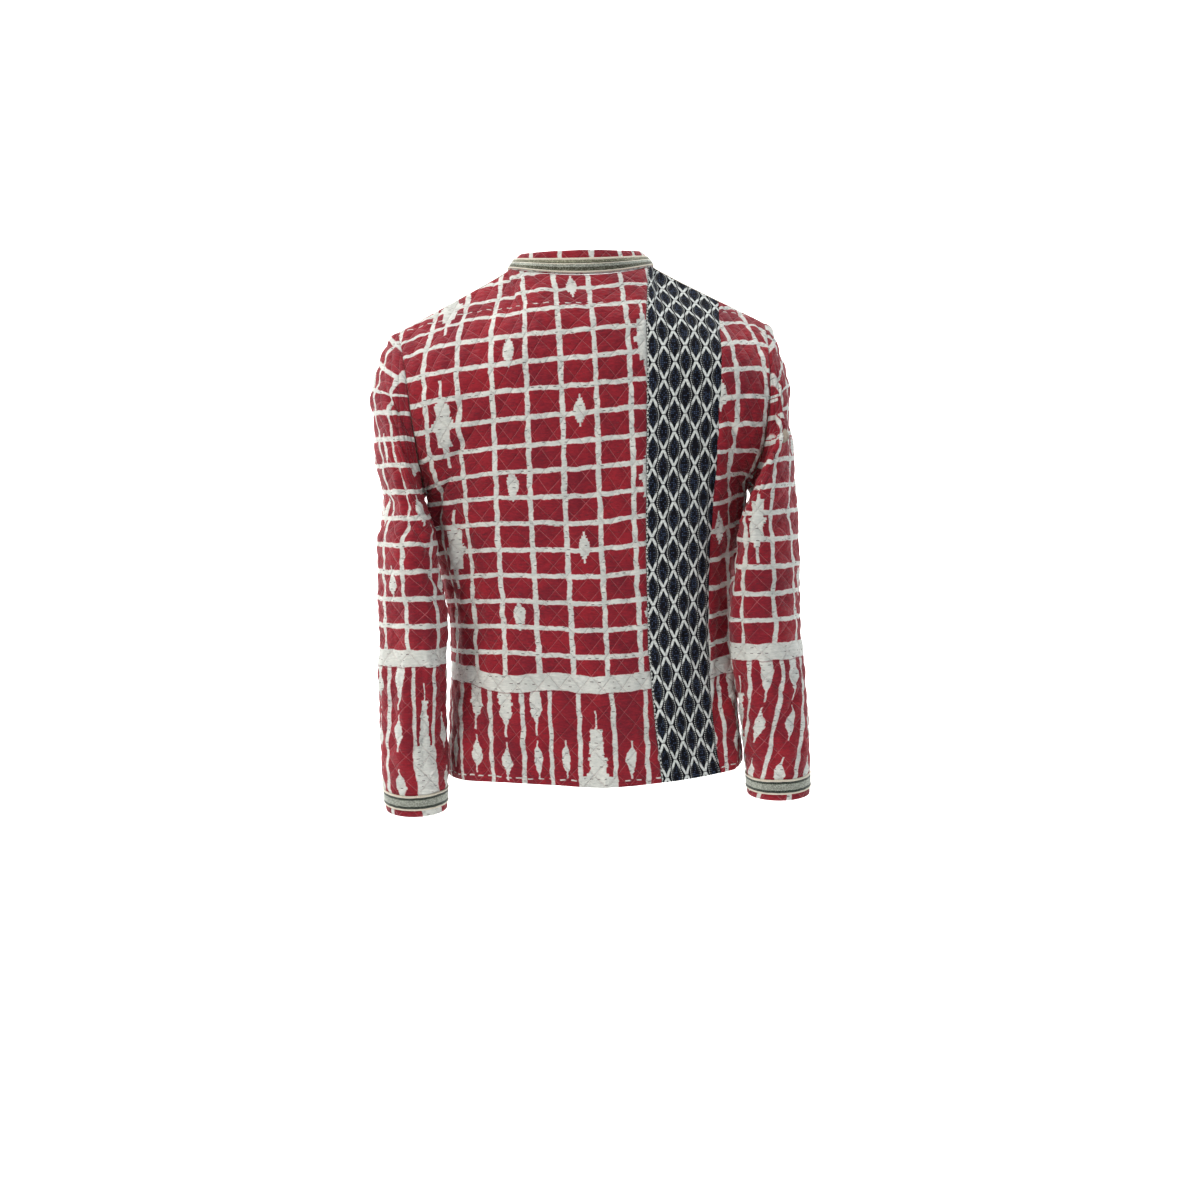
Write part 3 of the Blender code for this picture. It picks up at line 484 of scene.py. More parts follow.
def cloth_mesh(name, outer, inner, maps, tube=False):
    """A wall of cloth between two grids of points, closed by a rim at its edges. Each square of
    the outer grid is a face, the inner grid's faces are turned the other way, and on a tube the
    last column is the first one again. maps gives each UV map's two values at every point."""
    rows, wide = outer.shape[:2]
    columns = wide - tube
    number = np.arange(rows * wide).reshape(rows, wide)
    left, right = number[:, :-1], number[:, 1:]
    deep = rows * wide
    front = np.stack([left[:-1], right[:-1], right[1:], left[1:]], -1).reshape(-1, 4)
    back = front[:, ::-1] + deep
    edges = [(right[0], left[0]), (left[-1], right[-1])]
    if not tube:
        edges += [(left[:-1, 0], left[1:, 0]), (right[1:, -1], right[:-1, -1])]
    rims = [np.stack([one, two, two + deep, one + deep], -1) for one, two in edges]
    corners = np.concatenate([front, back, *rims])
    layer, place = np.divmod(corners, deep)
    faces = (layer * rows + place // wide) * columns + place % wide % columns
    points = np.concatenate([grid[:, :columns].reshape(-1, 3) for grid in (outer, inner)])
    mesh = bpy.data.meshes.new(name)
    mesh.from_pydata(points.tolist(), [], faces.tolist())
    for title, (first, second) in maps.items():
        layer = mesh.uv_layers.new(name=title)
        at = np.stack([first, second], -1).reshape(-1, 2)[place.reshape(-1)]
        layer.data.foreach_set("uv", at.astype(np.float32).reshape(-1))
    slots = np.arange(len(faces)) >= len(front)
    mesh.polygons.foreach_set("material_index", slots.astype(np.int32))
    mesh.polygons.foreach_set("use_smooth", np.ones(len(faces), bool))
    mesh.update()
    return placed(name, mesh)


def math_node(operation, turned=False):
    """A method that joins a worked number to others with one Math node; turned puts it last."""
    return lambda self, *others: self.step(operation, *others, turned=turned)


class Worked:
    """A number that a material works out at every point of a piece. The usual signs between two
    of them, or one and a plain number, add a Math node that joins them."""

    __add__ = __radd__ = math_node("ADD")
    __sub__ = math_node("SUBTRACT")
    __rsub__ = math_node("SUBTRACT", turned=True)
    __mul__ = __rmul__ = math_node("MULTIPLY")
    __truediv__ = math_node("DIVIDE")
    __mod__ = math_node("FLOORED_MODULO")
    __abs__ = math_node("ABSOLUTE")
    __pow__ = math_node("POWER")
    floor = math_node("FLOOR")
    least = math_node("MINIMUM")
    most = math_node("MAXIMUM")

    def __init__(self, tree, socket):
        """The number that comes out of this socket."""
        self.tree = tree
        self.socket = socket

    def step(self, operation, *others, turned=False):
        """What one Math node works out from this number and the others, in turned order or not."""
        node = self.tree.nodes.new("ShaderNodeMath")
        node.operation = operation
        values = (*others, self) if turned else (self, *others)
        for slot, value in zip(node.inputs, values):
            if isinstance(value, Worked):
                self.tree.links.new(value.socket, slot)
            else:
                slot.default_value = value
        return Worked(self.tree, node.outputs[0])

    def from_whole(self):
        """How far the number is from the nearest whole one."""
        return abs((self + 0.5) % 1.0 - 0.5)

    def under(self, edge, blur):
        """1 well below the edge, 0 well above it, and a straight slope of width blur between."""
        share = (edge - self) / blur + 0.5
        share.socket.node.use_clamp = True
        return share

    def over(self, edge, blur):
        """The other way round: 0 well below the edge and 1 well above it."""
        return 1.0 - self.under(edge, blur)

    def clipped(self):
        """Not under 0 and not over 1."""
        return self.most(0.0).least(1.0)


class Finish:
    """A material for one kind of cloth: its Principled shader and what its formulas need."""

    def __init__(self, name, roughness, sheen):
        """A dull cloth, with as much sheen as its loose fibres give."""
        self.made = bpy.data.materials.new(name)
        self.made.use_nodes = True
        self.tree = self.made.node_tree
        self.shader = self.tree.nodes["Principled BSDF"]
        self.shader.inputs["Roughness"].default_value = roughness
        self.shader.inputs["Sheen Weight"].default_value = sheen
        self.shader.inputs["Sheen Roughness"].default_value = 0.5
        self.shader.inputs["Specular IOR Level"].default_value = 0.25

    def new(self, kind, **inputs):
        """A node of this kind, with each named input joined to a worked number or set."""
        node = self.tree.nodes.new(kind)
        for title, value in inputs.items():
            slot = node.inputs[title.replace("_", " ")]
            if isinstance(value, Worked):
                self.tree.links.new(value.socket, slot)
            else:
                slot.default_value = value
        return node

    def map(self, title):
        """The two values of a UV map."""
        node = self.tree.nodes.new("ShaderNodeUVMap")
        node.uv_map = title
        split = self.tree.nodes.new("ShaderNodeSeparateXYZ")
        self.tree.links.new(node.outputs[0], split.inputs[0])
        return Worked(self.tree, split.outputs[0]), Worked(self.tree, split.outputs[1])

    def joined(self, first, second):
        """A place on the plane, with these two values."""
        return Worked(self.tree, self.new("ShaderNodeCombineXYZ", X=first, Y=second).outputs[0])

    def cloud(self, first, second, scale, detail=2.0):
        """Smooth noise of two values, from about -0.5 to 0.5."""
        at = self.joined(first, second)
        node = self.new("ShaderNodeTexNoise", Vector=at, Scale=scale, Detail=detail)
        node.noise_dimensions = "2D"
        return Worked(self.tree, node.outputs[0]) - 0.5

    def lot(self, value, other=0.0):
        """A number from 0 to 1 drawn by lot for each value."""
        node = self.new("ShaderNodeTexWhiteNoise", Vector=self.joined(value, other))
        node.noise_dimensions = "2D"
        return Worked(self.tree, node.outputs[0])

    def mixed(self, share, first, second):
        """The first colour where share is 0 and the second where it is 1."""
        node = self.tree.nodes.new("ShaderNodeMix")
        node.data_type = "RGBA"
        for number, value in ((0, share), (6, first), (7, second)):
            slot = node.inputs[number]
            if isinstance(value, Worked):
                self.tree.links.new(value.socket, slot)
            else:
                slot.default_value = (*value, 1.0) if isinstance(value, tuple) else value
        return Worked(self.tree, node.outputs[2])

    def end(self, colour, height, depth):
        """Joins the colour and the height of the relief to the shader."""
        self.tree.links.new(colour.socket, self.shader.inputs["Base Color"])
        bump = self.new("ShaderNodeBump", Height=height, Distance=depth)
        self.tree.links.new(bump.outputs[0], self.shader.inputs["Normal"])
        return self.made


# Colours of the print, its threads and the lining. The deep red and the dull white are the darker
# ends of tones that vary at random and also carry painted shade of the puckers.
RED = (0.240, 0.0095, 0.022)
DEEP_RED = (0.150, 0.0075, 0.019)
BRIGHT_RED = (0.350, 0.0150, 0.026)
OFF_WHITE = (0.74, 0.76, 0.72)
DULL_AND_SHADED_WHITE = (0.50, 0.53, 0.51)
PINK = (0.60, 0.20, 0.22)
DARK_THREAD = (0.055, 0.016, 0.022)
QUILTING_PINK = (0.56, 0.155, 0.17)
TAUPE = (0.30, 0.25, 0.20)
PALE_TAUPE = (0.40, 0.35, 0.29)
LINING_THREAD = (0.12, 0.05, 0.05)

# Metres of the print: a cell of the grid, a level line of it above the hem, the lower edge of
# the wide band above the hem and its width, one stripe to the next, half a line, the blur of an
# edge and the size of its jumps; rows of running stitch, and stitches in a row
GRID_ACROSS = 0.0385
GRID_UP = 0.0308
GRID_START = 0.147
BAND_LOW = 0.1065
BAND_WIDTH = 0.0198
STRIPE_APART = 0.037
HALF_LINE = 0.0028
PRINT_BLUR = 0.0007
THREADS = 0.0031
STITCH_ROWS = 0.0068
STITCHES = 0.0083

# Metres of the motifs: the stairs of their edges, half the height of a small one in the grid,
# half the height and half the width of a lozenge in the border, and the height of its fraying;
# and how many cells up the next motif of a column stands
STAIR = 0.0034
SMALL_TALL = 0.0150
LOZENGE_UP = 0.0165
LOZENGE_OUT = 0.0058
FRAY = 0.0036
MOTIF_ROWS = 5.0


def quilted_print(name, spacing, hanging, crown, large, stitch_rows, start=1.45):
    """The printed cotton. On the map "grid" the white lines are at the whole numbers, and every
    `spacing` cells a motif stands in a column, five rows apart and half that in the next column;
    every third one is a large stepped one if `large`. On the map "border" the stripes are at the
    whole numbers and the second value is metres down from the wide white band. Of seven cells,
    those numbered hanging[0] to hanging[1] have a motif that hangs from the band, the one with
    the number `crown` a tall one, the others lozenges. stitch_rows: heights of white dashes."""
    cloth = Finish(name, 0.86, 0.12)
    across, up = cloth.map("cloth")
    grid_x, grid_y = cloth.map("grid")
    border_x, down = cloth.map("border")
    i, j = cloth.map("quilting")

    # Drawn by hand: every edge wanders, and jumps from thread to thread in small steps
    slow = cloth.cloud(across, up, 55, 1.0)
    quick = cloth.cloud(across, up, 330, 1.0)
    thread_up = (up / THREADS).floor()
    thread_across = (across / THREADS).floor()
    step_x = cloth.lot(thread_up, (grid_x + 0.5).floor()) - 0.5
    step_y = cloth.lot(thread_across, (grid_y + 0.5).floor()) - 0.5
    wander = slow * 0.0038 + quick * 0.0008
    off_x = wander + step_x * 0.0005
    off_y = slow * -0.0032 + quick * 0.0008 + step_y * 0.0005

    # The window-pane grid
    line_x = (grid_x + off_x / GRID_ACROSS).from_whole() * GRID_ACROSS
    line_x = line_x.under(HALF_LINE + 0.0001, PRINT_BLUR)
    line_y = ((grid_y + off_y / GRID_UP).from_whole() * GRID_UP).under(HALF_LINE, PRINT_BLUR)

    # The motifs between the lines
    pair = grid_x / spacing - (0.25 if spacing == 2 else 0.0)
    number = pair.floor()
    x = abs((pair - number - 0.5) * (spacing * GRID_ACROSS) + off_x)
    odd = number % 2.0
    y = ((grid_y - start - odd * 2.65) / MOTIF_ROWS + 0.5) % 1.0 - 0.5
    y = abs(y * (MOTIF_ROWS * GRID_UP) + off_y)
    stair = (y / STAIR).floor() * STAIR + cloth.lot(thread_up, number) * 0.0022
    small = (1.0 - (stair / SMALL_TALL) ** 2.0) * 0.0066
    small = small.most(0.0011 + y.over(0.0185, 0.0004) * -0.01)
    big = (0.0140 - stair * 0.95).most(0.0082 + stair.over(0.0225, 0.0004) * -0.0048)
    big = big.most(0.0) + stair.over(0.0300, 0.0004) * -0.0016
    big = big + y.over(0.0490, 0.0004) * -0.01
    if large:
        is_large = (number % 3.0).under(0.5, 0.1)
        half = small + (big - small) * is_large
    else:
        half = small
    motif = (x - half).under(0.0, PRINT_BLUR)
    edge = down + slow * 0.0030 + quick * 0.0008
    above = line_x.most(line_y).most(motif * edge.under(-0.0620, 0.0010))

    # The wide band, and the border below it
    in_band = edge.over(-BAND_WIDTH, PRINT_BLUR) * edge.under(0.0, PRINT_BLUR)
    is_border = edge.over(-0.0010, 0.0006)
    cell = border_x.floor()
    kind = cell % 7.0
    stripe_wander = cloth.cloud(cell, down, 26, 1.0) * 0.0050
    stripe = (border_x + off_x / STRIPE_APART).from_whole() * STRIPE_APART
    stripe = (stripe + stripe_wander * 0.3).under(HALF_LINE, 0.0008)
    x = abs((border_x - cell - 0.5) * STRIPE_APART + off_x * 1.3 + stripe_wander)
    fray = cloth.lot((down / FRAY).floor(), cell)

    def lozenge(middle):
        """A motif whose half width falls with the square of the distance from its middle."""
        far = abs(down - middle)
        wide = (1.0 - (far / LOZENGE_UP) ** 2.0) * LOZENGE_OUT + fray * 0.0014 - 0.0006
        wide = wide.most(0.0010)
        return (x - wide).under(0.0, PRINT_BLUR) * far.under(0.0215, 0.001)

    lozenges = lozenge(0.0770).most(lozenge(0.1400))
    wide = 0.0082 - (down - 0.0215).most(0.0) * 0.42 - fray * 0.0018
    wide = wide.most(0.0012)
    hang = (x - wide).under(0.0, PRINT_BLUR) * down.under(0.0500, 0.001)
    wide = 0.0040 + (down - 0.040).most(0.0) * 0.105 + fray * 0.0026
    wide = wide + (down - 0.0940).over(0.0, 0.001) * (down - 0.0900) * 1.2
    trunk = (x - wide).under(0.0, PRINT_BLUR) * down.over(0.0400, 0.001)
    tall = trunk.most(x.under(0.0010, 0.0006) * down.over(0.0190, 0.001))
    is_crown = abs(kind - crown).under(0.5, 0.1)
    is_hang = kind.over(hanging[0] - 0.5, 0.1) * kind.under(hanging[1] + 0.5, 0.1)
    figures = lozenges * (1.0 - is_crown)
    figures = figures.most(hang * is_hang).most(tall * is_crown)
    below = stripe.most(figures)
    white = above * (1.0 - is_border) * edge.under(-0.0190, PRINT_BLUR)
    white = white.most(in_band).most(below * is_border)
    maroon_line = abs(edge - 0.0009).under(0.0007, 0.0005) * 0.8

    # Colours: the red is blotched at random and streaked with painted shade of the puckers, the
    # white bluish, with the same painted shade
    blotch = cloth.cloud(across, up, 21, 3.0)
    # Painted shade of the puckers: long level streaks, darker and lighter, in both the red and the
    # white
    pucker_shade = cloth.cloud(across * 0.25, up, 520, 2.0)
    tone = (blotch * 2.0 + pucker_shade * 1.7 + 0.5).clipped()
    red = cloth.mixed(0.35, cloth.mixed(tone, DEEP_RED, BRIGHT_RED), RED)
    pale = cloth.mixed((blotch * 1.1 + pucker_shade * 1.3 + 0.60).clipped(), DULL_AND_SHADED_WHITE, OFF_WHITE)
    halo = white * (1.0 - white) * 2.6
    colour = cloth.mixed(white, red, pale)
    colour = cloth.mixed(halo.least(0.8), colour, PINK)
    colour = cloth.mixed(maroon_line * (1.0 - is_border * 0.3), colour, DEEP_RED)

    # Rows of running stitch by hand, dark on white and nearly lost on red
    row = up / STITCH_ROWS + slow * 0.35
    number = row.floor()
    dash = (across / STITCHES + cloth.lot(number) * 7.0 + quick * 0.15).from_whole()
    in_row = abs(row - number - 0.5).under(0.055, 0.03)
    shown = cloth.cloud(across, up, 70, 1.0).over(0.035, 0.03)
    stitch = dash.under(0.21, 0.05) * in_row * shown
    colour = cloth.mixed(stitch * (white * 0.45 + 0.45), colour, DARK_THREAD)

    # The machine quilting: thin pink thread along the diagonals
    first, second = (i + j) / 2.0, (i - j) / 2.0
    beat = (across / 0.0026).from_whole()
    near = first.from_whole().least(second.from_whole())
    thread = near.under(0.019, 0.014) * (0.85 - beat * 0.5)
    fade = (cloth.cloud(across, up, 40, 1.0) * 1.1 + 0.62).most(0.15).least(1.0)
    colour = cloth.mixed(thread * fade * (0.85 - white * 0.60), colour, QUILTING_PINK)

    # White dashes in a few rows
    relief = near.under(0.035, 0.06) * -0.45 + stitch * 0.25
    for height in stitch_rows:
        on_row = abs(up + slow * 0.004 - height).under(0.0007, 0.0004)
        dashes = (across / 0.0122 + quick * 0.3).from_whole().under(0.25, 0.05) * on_row
        colour = cloth.mixed(dashes * 0.85, colour, OFF_WHITE)
        relief = relief + dashes * 0.35 - on_row * 0.25

    # Puckers between the rows of running stitch, and the weave
    pucker = cloth.cloud(across * 0.55, up + slow * 0.002, 210, 2.0)
    weave = cloth.cloud(across, up, 1500, 1.0)
    relief = relief + pucker * 1.4 + weave * 0.16
    return cloth.end(colour, relief, 0.0017)


def plain_lining():
    """The plain inside: taupe cotton with the same rows of running stitch."""
    cloth = Finish("plain_lining", 0.9, 0.1)
    across, up = cloth.map("cloth")
    blotch = cloth.cloud(across, up, 30, 3.0)
    colour = cloth.mixed((blotch * 1.4 + 0.5).clipped(), TAUPE, PALE_TAUPE)
    row = up / STITCH_ROWS
    dash = (across / STITCHES + cloth.lot(row.floor()) * 7.0).from_whole().under(0.2, 0.05)
    stitch = dash * abs(row - row.floor() - 0.5).under(0.055, 0.03)
    colour = cloth.mixed(stitch * 0.6, colour, LINING_THREAD)
    pucker = cloth.cloud(across * 0.55, up, 210, 2.0)
    return cloth.end(colour, pucker * 0.9 + stitch * 0.3, 0.0009)


lining = plain_lining()
body_print = quilted_print("body_print", 2, (2, 4), 6, True, (0.0065, 0.5525))


def whole_side(front, fine):
    """The whole back or front on a fine grid, without quilting: its points with their folds, the
    lattice places i and j, metres on the cloth from the middle and up from the hem, and the same
    metres up measured along the columns. On the upper back the first kind of metres up follow
    the cloth's level threads, which stay nearly level also beside the armholes."""
    columns = np.linspace(-COLUMNS, COLUMNS, 2 * COLUMNS * fine + 1)
    rows = np.linspace(0, ALL_ROWS, ALL_ROWS * (fine + 1) + 1)
    if front:
        u = np.repeat(columns[None] / COLUMNS, len(rows), axis=0)
    else:
        u = body_places(columns, rows)
    v = np.repeat(rows[:, None], len(columns), axis=1)
    point, out = body(u, v, front), body_out(u, v, front)
    half = column(TORSO, 1, np.clip(point[..., 2], HEM, UNDERARM)) * 1.40
    place = np.abs(u) * half if front else u * half

    def fade(side, top, parting):
        """1 inside the piece, easing to 0 at its side, its top and the parting of the fronts."""
        share = ease(0, side, 1 - np.abs(u)) * ease(0, top, ALL_ROWS - v)
        return share * ease(0, parting, np.abs(u)) if front else share

    lift = folds(FRONT_FOLDS if front else BACK_FOLDS, place, point[..., 2])
    point = point + out * (lift * fade(0.14, 3, 0.12))[..., None]
    around, path = lengths(point)
    up = path
    signed = from_middle(around)
    if not front:
        middle = len(columns) // 2
        level = np.interp(point[..., 2], point[:, middle, 2], up[:, middle])
        up = up + (level - up) * 0.85 * ease(0.29, 0.40, up) * (1 - 0.5 * ease(0.51, 0.57, up))
    finer = folds(FRONT_CREASES if front else BACK_CREASES, place, point[..., 2])
    finer = (finer + ripples(place, point[..., 2])) * fade(0.05, 1.2, 0.04)
    point = point + out * finer[..., None]
    i, j = np.meshgrid(columns, rows)
    return point, i, j, signed, up, path


def quilted_pair(point, i, j, from_column, to_column, quilted=True):
    """(outer, inner) of a piece between two lattice columns: the outer side stands up between
    the stitch lines and sinks at every seam and behind the turned-up hem, and the inner side is
    the same cloth without quilting, one thickness in."""
    ends = np.minimum(np.abs(i - from_column), np.abs(i - to_column)) * LATTICE
    top = (ALL_ROWS - j) * LATTICE
    hem = j * LATTICE
    held = ease(0, FLAT_SEAM, ends) * ease(0, FLAT_SEAM, top) * ease(0.001, 0.010, hem)
    lift = pillows(i, j) * PUFF * held * quilted
    lift -= SEAM_DEPTH * (bell(ends, SEAM_WIDTH) + bell(top, SEAM_WIDTH))
    lift += 0.0005 * bell(hem - 0.0040, 0.0030) - 0.0006 * bell(hem - 0.0095, 0.0016)
    out = grid_out(point)
    return point + out * lift[..., None], point - out * CLOTH


def print_maps(signed, up, shift=0.0):
    """Where the print lies on the body: the maps that its material needs. The grid is turned a
    little above the waist, and the band below it rises and falls round the body."""
    level = up - 0.07 * signed * ease(0.12, 0.33, up)
    start = 0.0015 + 0.005 * (1 - ease(0.12, 0.35, up))
    wave = through(BAND_WAVE[:, 0], BAND_WAVE[:, 1], signed)
    stripes = np.interp(signed, STRIPES, np.arange(-7, 8))
    grid = ((signed - start) / GRID_ACROSS + shift, (level - GRID_START) / GRID_UP)
    return {"cloth": (signed, up), "grid": grid, "border": (stripes, BAND_LOW + wave - up)}


def cut(grids, start, stop, fine):
    """The part of each grid from one lattice column to another, with `fine` steps in each."""
    take = slice((start + COLUMNS) * fine, (stop + COLUMNS) * fine + 1)
    return [grid[:, take] for grid in grids]


def fitted(piece, node, outside, inside):
    """Gives a piece its two finishes and puts it in the place of its plain solid."""
    piece.data.materials.append(outside)
    piece.data.materials.append(inside)
    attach(piece, "root")
    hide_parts(node)
    return piece


BACK_FINE = 5
back_grids = whole_side(False, BACK_FINE)
CUTS = {
    # piece of the back: its columns, how far its print is shifted, flat size and area of its cut
    "back_main": (-COLUMNS, STRIP_FROM, 0.0, (0.325, 0.600), 0.171),
    "back_side": (STRIP_TO, COLUMNS, -0.262, (0.105, 0.545), 0.048),
}
for title, (start, stop, shift, flat, area) in CUTS.items():
    point, i, j, signed, up, _ = cut(back_grids, start, stop, BACK_FINE)
    outer, inner = quilted_pair(point, i, j, start, stop)
    maps = {**print_maps(signed, up, shift), "quilting": (i, j)}
    piece = cloth_mesh(title + "_cloth", outer, inner, maps)
    fitted(piece, title, body_print, lining)

FRONT_FINE = 4
front_grids = whole_side(True, FRONT_FINE)
for title, start, stop in (("front_left", -COLUMNS, 0), ("front_right", 0, COLUMNS)):
    grids = cut(front_grids, start, stop, FRONT_FINE)
    point, i, j, signed, up, _ = (grid[:, ::-1].copy() for grid in grids)
    near = np.clip(1 - np.abs(i) / 4, 0, 1)
    parting = FRONT_PARTING_HEM + (FRONT_PARTING_TOP - FRONT_PARTING_HEM) * j / ALL_ROWS
    point[..., 0] += parting * near * np.sign(start + stop)
    outer, inner = quilted_pair(point, i, j, start, stop)
    maps = {**print_maps(signed, up), "quilting": (i, j)}
    piece = cloth_mesh(title + "_cloth", outer, inner, maps)
    fitted(piece, title, body_print, lining)


# The woven strip: one flat panel let into the back beside the middle, from neck to hem.
# Heavy near-black handloom cotton with columns of off-white wavy lozenges, woven in, and a
# selvedge with small white floats along its edge towards the middle of the back.

# Metres of the weave: one column of lozenges to the next, the height of a lozenge, half its
# width, and the dots inside it; then its colours
LOZENGE_WIDE = 0.0125
LOZENGE_TALL = 0.0391
HALF_LOZENGE = 0.0070
DOTS = 0.0021
NEAR_BLACK = (0.004, 0.0042, 0.0065)
BLUE_BLACK = (0.009, 0.0095, 0.015)
DOT_BLUE = (0.10, 0.15, 0.26)
WOVEN_WHITE = (0.80, 0.85, 0.83)


def woven_strip():
    """On the map "weave" the columns of lozenges are one apart, and a lozenge is one tall; every
    second column is half a lozenge further up. Each outline's half width at the share t of its
    height is 7 mm x (1 - |2t - 1| ^ 1.5), so that neighbours hook into each other."""
    cloth = Finish("woven_strip", 0.85, 0.0)
    cloth.shader.inputs["Specular IOR Level"].default_value = 0.07
    across, up = cloth.map("cloth")
    a, b = cloth.map("weave")
    wander = cloth.cloud(across, up, 120, 1.0) * 0.0016
    number = a.floor()
    x = (a - number - 0.5) * LOZENGE_WIDE + wander * 0.4
    white = inside = None
    for side in (-1, 0, 1):
        odd = (number + side) % 2.0
        t = (b + odd * 0.5 + wander * 12.0) % 1.0
        bend = abs(t * 2.0 - 1.0)
        half = (1.0 - bend**1.5) * HALF_LOZENGE
        shifted = abs(x - side * LOZENGE_WIDE)
        arm = bend.over(0.48, 0.20)
        line = abs(shifted - half).under(arm * 0.0011 + 0.0005, 0.0004)
        dotted = (t * 17.0).from_whole().over(0.20, 0.12) * 0.8
        ring = abs(shifted - half + 0.0020).under(0.0003, 0.0003) * bend.under(0.50, 0.10)
        line = (line * dotted.most(arm)).most(ring * dotted * 0.3) * bend.under(0.980, 0.03)
        filled = (shifted - half).under(-0.0024, 0.001) * (1.0 - bend)
        white = line if white is None else white.most(line)
        inside = filled if inside is None else inside.most(filled)
    floats = cloth.lot((up / 0.0016).floor(), (across / 0.0014).floor())
    white = white * (floats * 0.5 + 0.65).least(1.0)
    dots = cloth.lot((up / DOTS).floor(), (across / DOTS).floor()).over(0.55, 0.05)
    dots = dots * (up / DOTS).from_whole().over(0.25, 0.1) * inside
    dots = dots * (across / DOTS).from_whole().over(0.22, 0.1)
    edge = abs(across - 0.0014).under(0.0008, 0.0004)
    edge = edge * (up / 0.0046).from_whole().under(0.2, 0.06)
    blotch = cloth.cloud(across, up, 40, 2.0)
    ground = cloth.mixed((blotch * 1.5 + 0.5).clipped(), NEAR_BLACK, BLUE_BLACK)
    colour = cloth.mixed(dots * 0.75, ground, DOT_BLUE)
    colour = cloth.mixed(white.most(edge * 0.8) * 0.96, colour, WOVEN_WHITE)
    ribs = (across / 0.0012).from_whole() * 0.25 + (up / 0.0012).from_whole() * 0.35
    return cloth.end(colour, ribs + white * 0.35 + blotch * 0.2, 0.0009)


point, i, j, signed, _, up = cut(back_grids, STRIP_FROM, STRIP_TO, BACK_FINE)
outer, inner = quilted_pair(point, i, j, STRIP_FROM, STRIP_TO, quilted=False)
from_edge = signed - signed[:, :1]
weave = ((from_edge - 0.0008) / LOZENGE_WIDE, (up - 0.0053) / LOZENGE_TALL)
maps = {"cloth": (from_edge, up), "weave": weave, "quilting": (i, j)}
strip = cloth_mesh("back_strip_cloth", outer, inner, maps)
fitted(strip, "back_strip", woven_strip(), lining)


# The sleeves: each one piece of the same quilted cotton, sewn up under the arm and into the
# armhole. They hang almost straight down, the wearer's left one a little bent, with long
# creases from the armpit, short ones at the elbow, and a border like the body's.

SLEEVE_COLUMNS = 24
SLEEVE_FINE = 5
CAP_ROWS = 17
ARM_ROWS = 22
SLEEVE_ROWS = CAP_ROWS + ARM_ROWS
CUFF = -0.615
CUFF_TILT = 0.14
RING_TOP = -0.300
ARM_STEP = (RING_TOP - CUFF) / ARM_ROWS
SLEEVE_GIRTH = 0.29
UNDERARM_FORWARD = 0.85
SLEEVE_GRID_UP = 0.0304

# The hanging sleeves: one row for each height. The slant turns the section, so that its back
# comes nearer the body than its front.
SLEEVE_LEFT = np.array([
    # height, centre x, centre y, half width, half depth, slant
    (-0.615, 0.2122, -0.0280, 0.0351, 0.0380, 0.00),
    (-0.560, 0.2130, -0.0360, 0.0370, 0.0420, 0.05),
    (-0.500, 0.2125, -0.0430, 0.0367, 0.0460, 0.10),
    (-0.430, 0.2108, -0.0520, 0.0375, 0.0500, 0.15),
    (-0.380, 0.2096, -0.0550, 0.0376, 0.0530, 0.20),
    (-0.340, 0.2115, -0.0540, 0.0330, 0.0570, 0.20),
    (-0.300, 0.2133, -0.0500, 0.0300, 0.0600, 0.20),
])
SLEEVE_RIGHT = np.array([
    # height, centre x, centre y, half width, half depth, slant
    (-0.615, 0.2095, -0.0400, 0.0365, 0.0370, 0.00),
    (-0.560, 0.2070, -0.0510, 0.0375, 0.0420, 0.10),
    (-0.500, 0.2010, -0.0610, 0.0392, 0.0460, 0.18),
    (-0.430, 0.1940, -0.0680, 0.0419, 0.0500, 0.25),
    (-0.380, 0.1945, -0.0740, 0.0395, 0.0540, 0.33),
    (-0.340, 0.1965, -0.0760, 0.0372, 0.0560, 0.34),
    (-0.300, 0.1990, -0.0740, 0.0325, 0.0580, 0.37),
])

RIGHT_SLEEVE_FOLDS = np.array([
    # thousandths of a turn round the arm, height, turn, length, width, depth
    (490, -176, 88, 55, 30, -4.5),
    (500, -105, 88, 60, 30, -5),
    (330, -215, 60, 55, 24, 1.5),
    (250, -250, 35, 70, 24, -3),
    (100, -330, 25, 70, 20, -4),
    (200, -420, 12, 80, 19, -4),
    (330, -450, -8, 70, 20, 4),
    (140, -500, 8, 90, 19, 4),
    (270, -540, 10, 80, 18, -3.5),
    (750, -360, 70, 60, 26, -7),
    (720, -420, 80, 60, 24, -5),
    (800, -500, 10, 90, 20, -4),
])
LEFT_SLEEVE_FOLDS = np.array([
    # thousandths of a turn round the arm, height, turn, length, width, depth
    (460, -150, 85, 50, 30, 5),
    (360, -178, 70, 60, 20, -4.5),
    (480, -262, 88, 70, 34, -11),
    (300, -235, 60, 60, 20, -4),
    (220, -300, 30, 80, 20, -4.5),
    (310, -345, 12, 80, 19, 4),
    (380, -430, -6, 80, 19, -4),
    (200, -440, 15, 90, 18, 4),
    (300, -520, -5, 80, 19, 4),
    (150, -540, 6, 80, 18, -3.5),
    (750, -360, 70, 60, 26, -7),
    (720, -420, 80, 60, 24, -5),
    (820, -510, 10, 90, 20, -4),
])

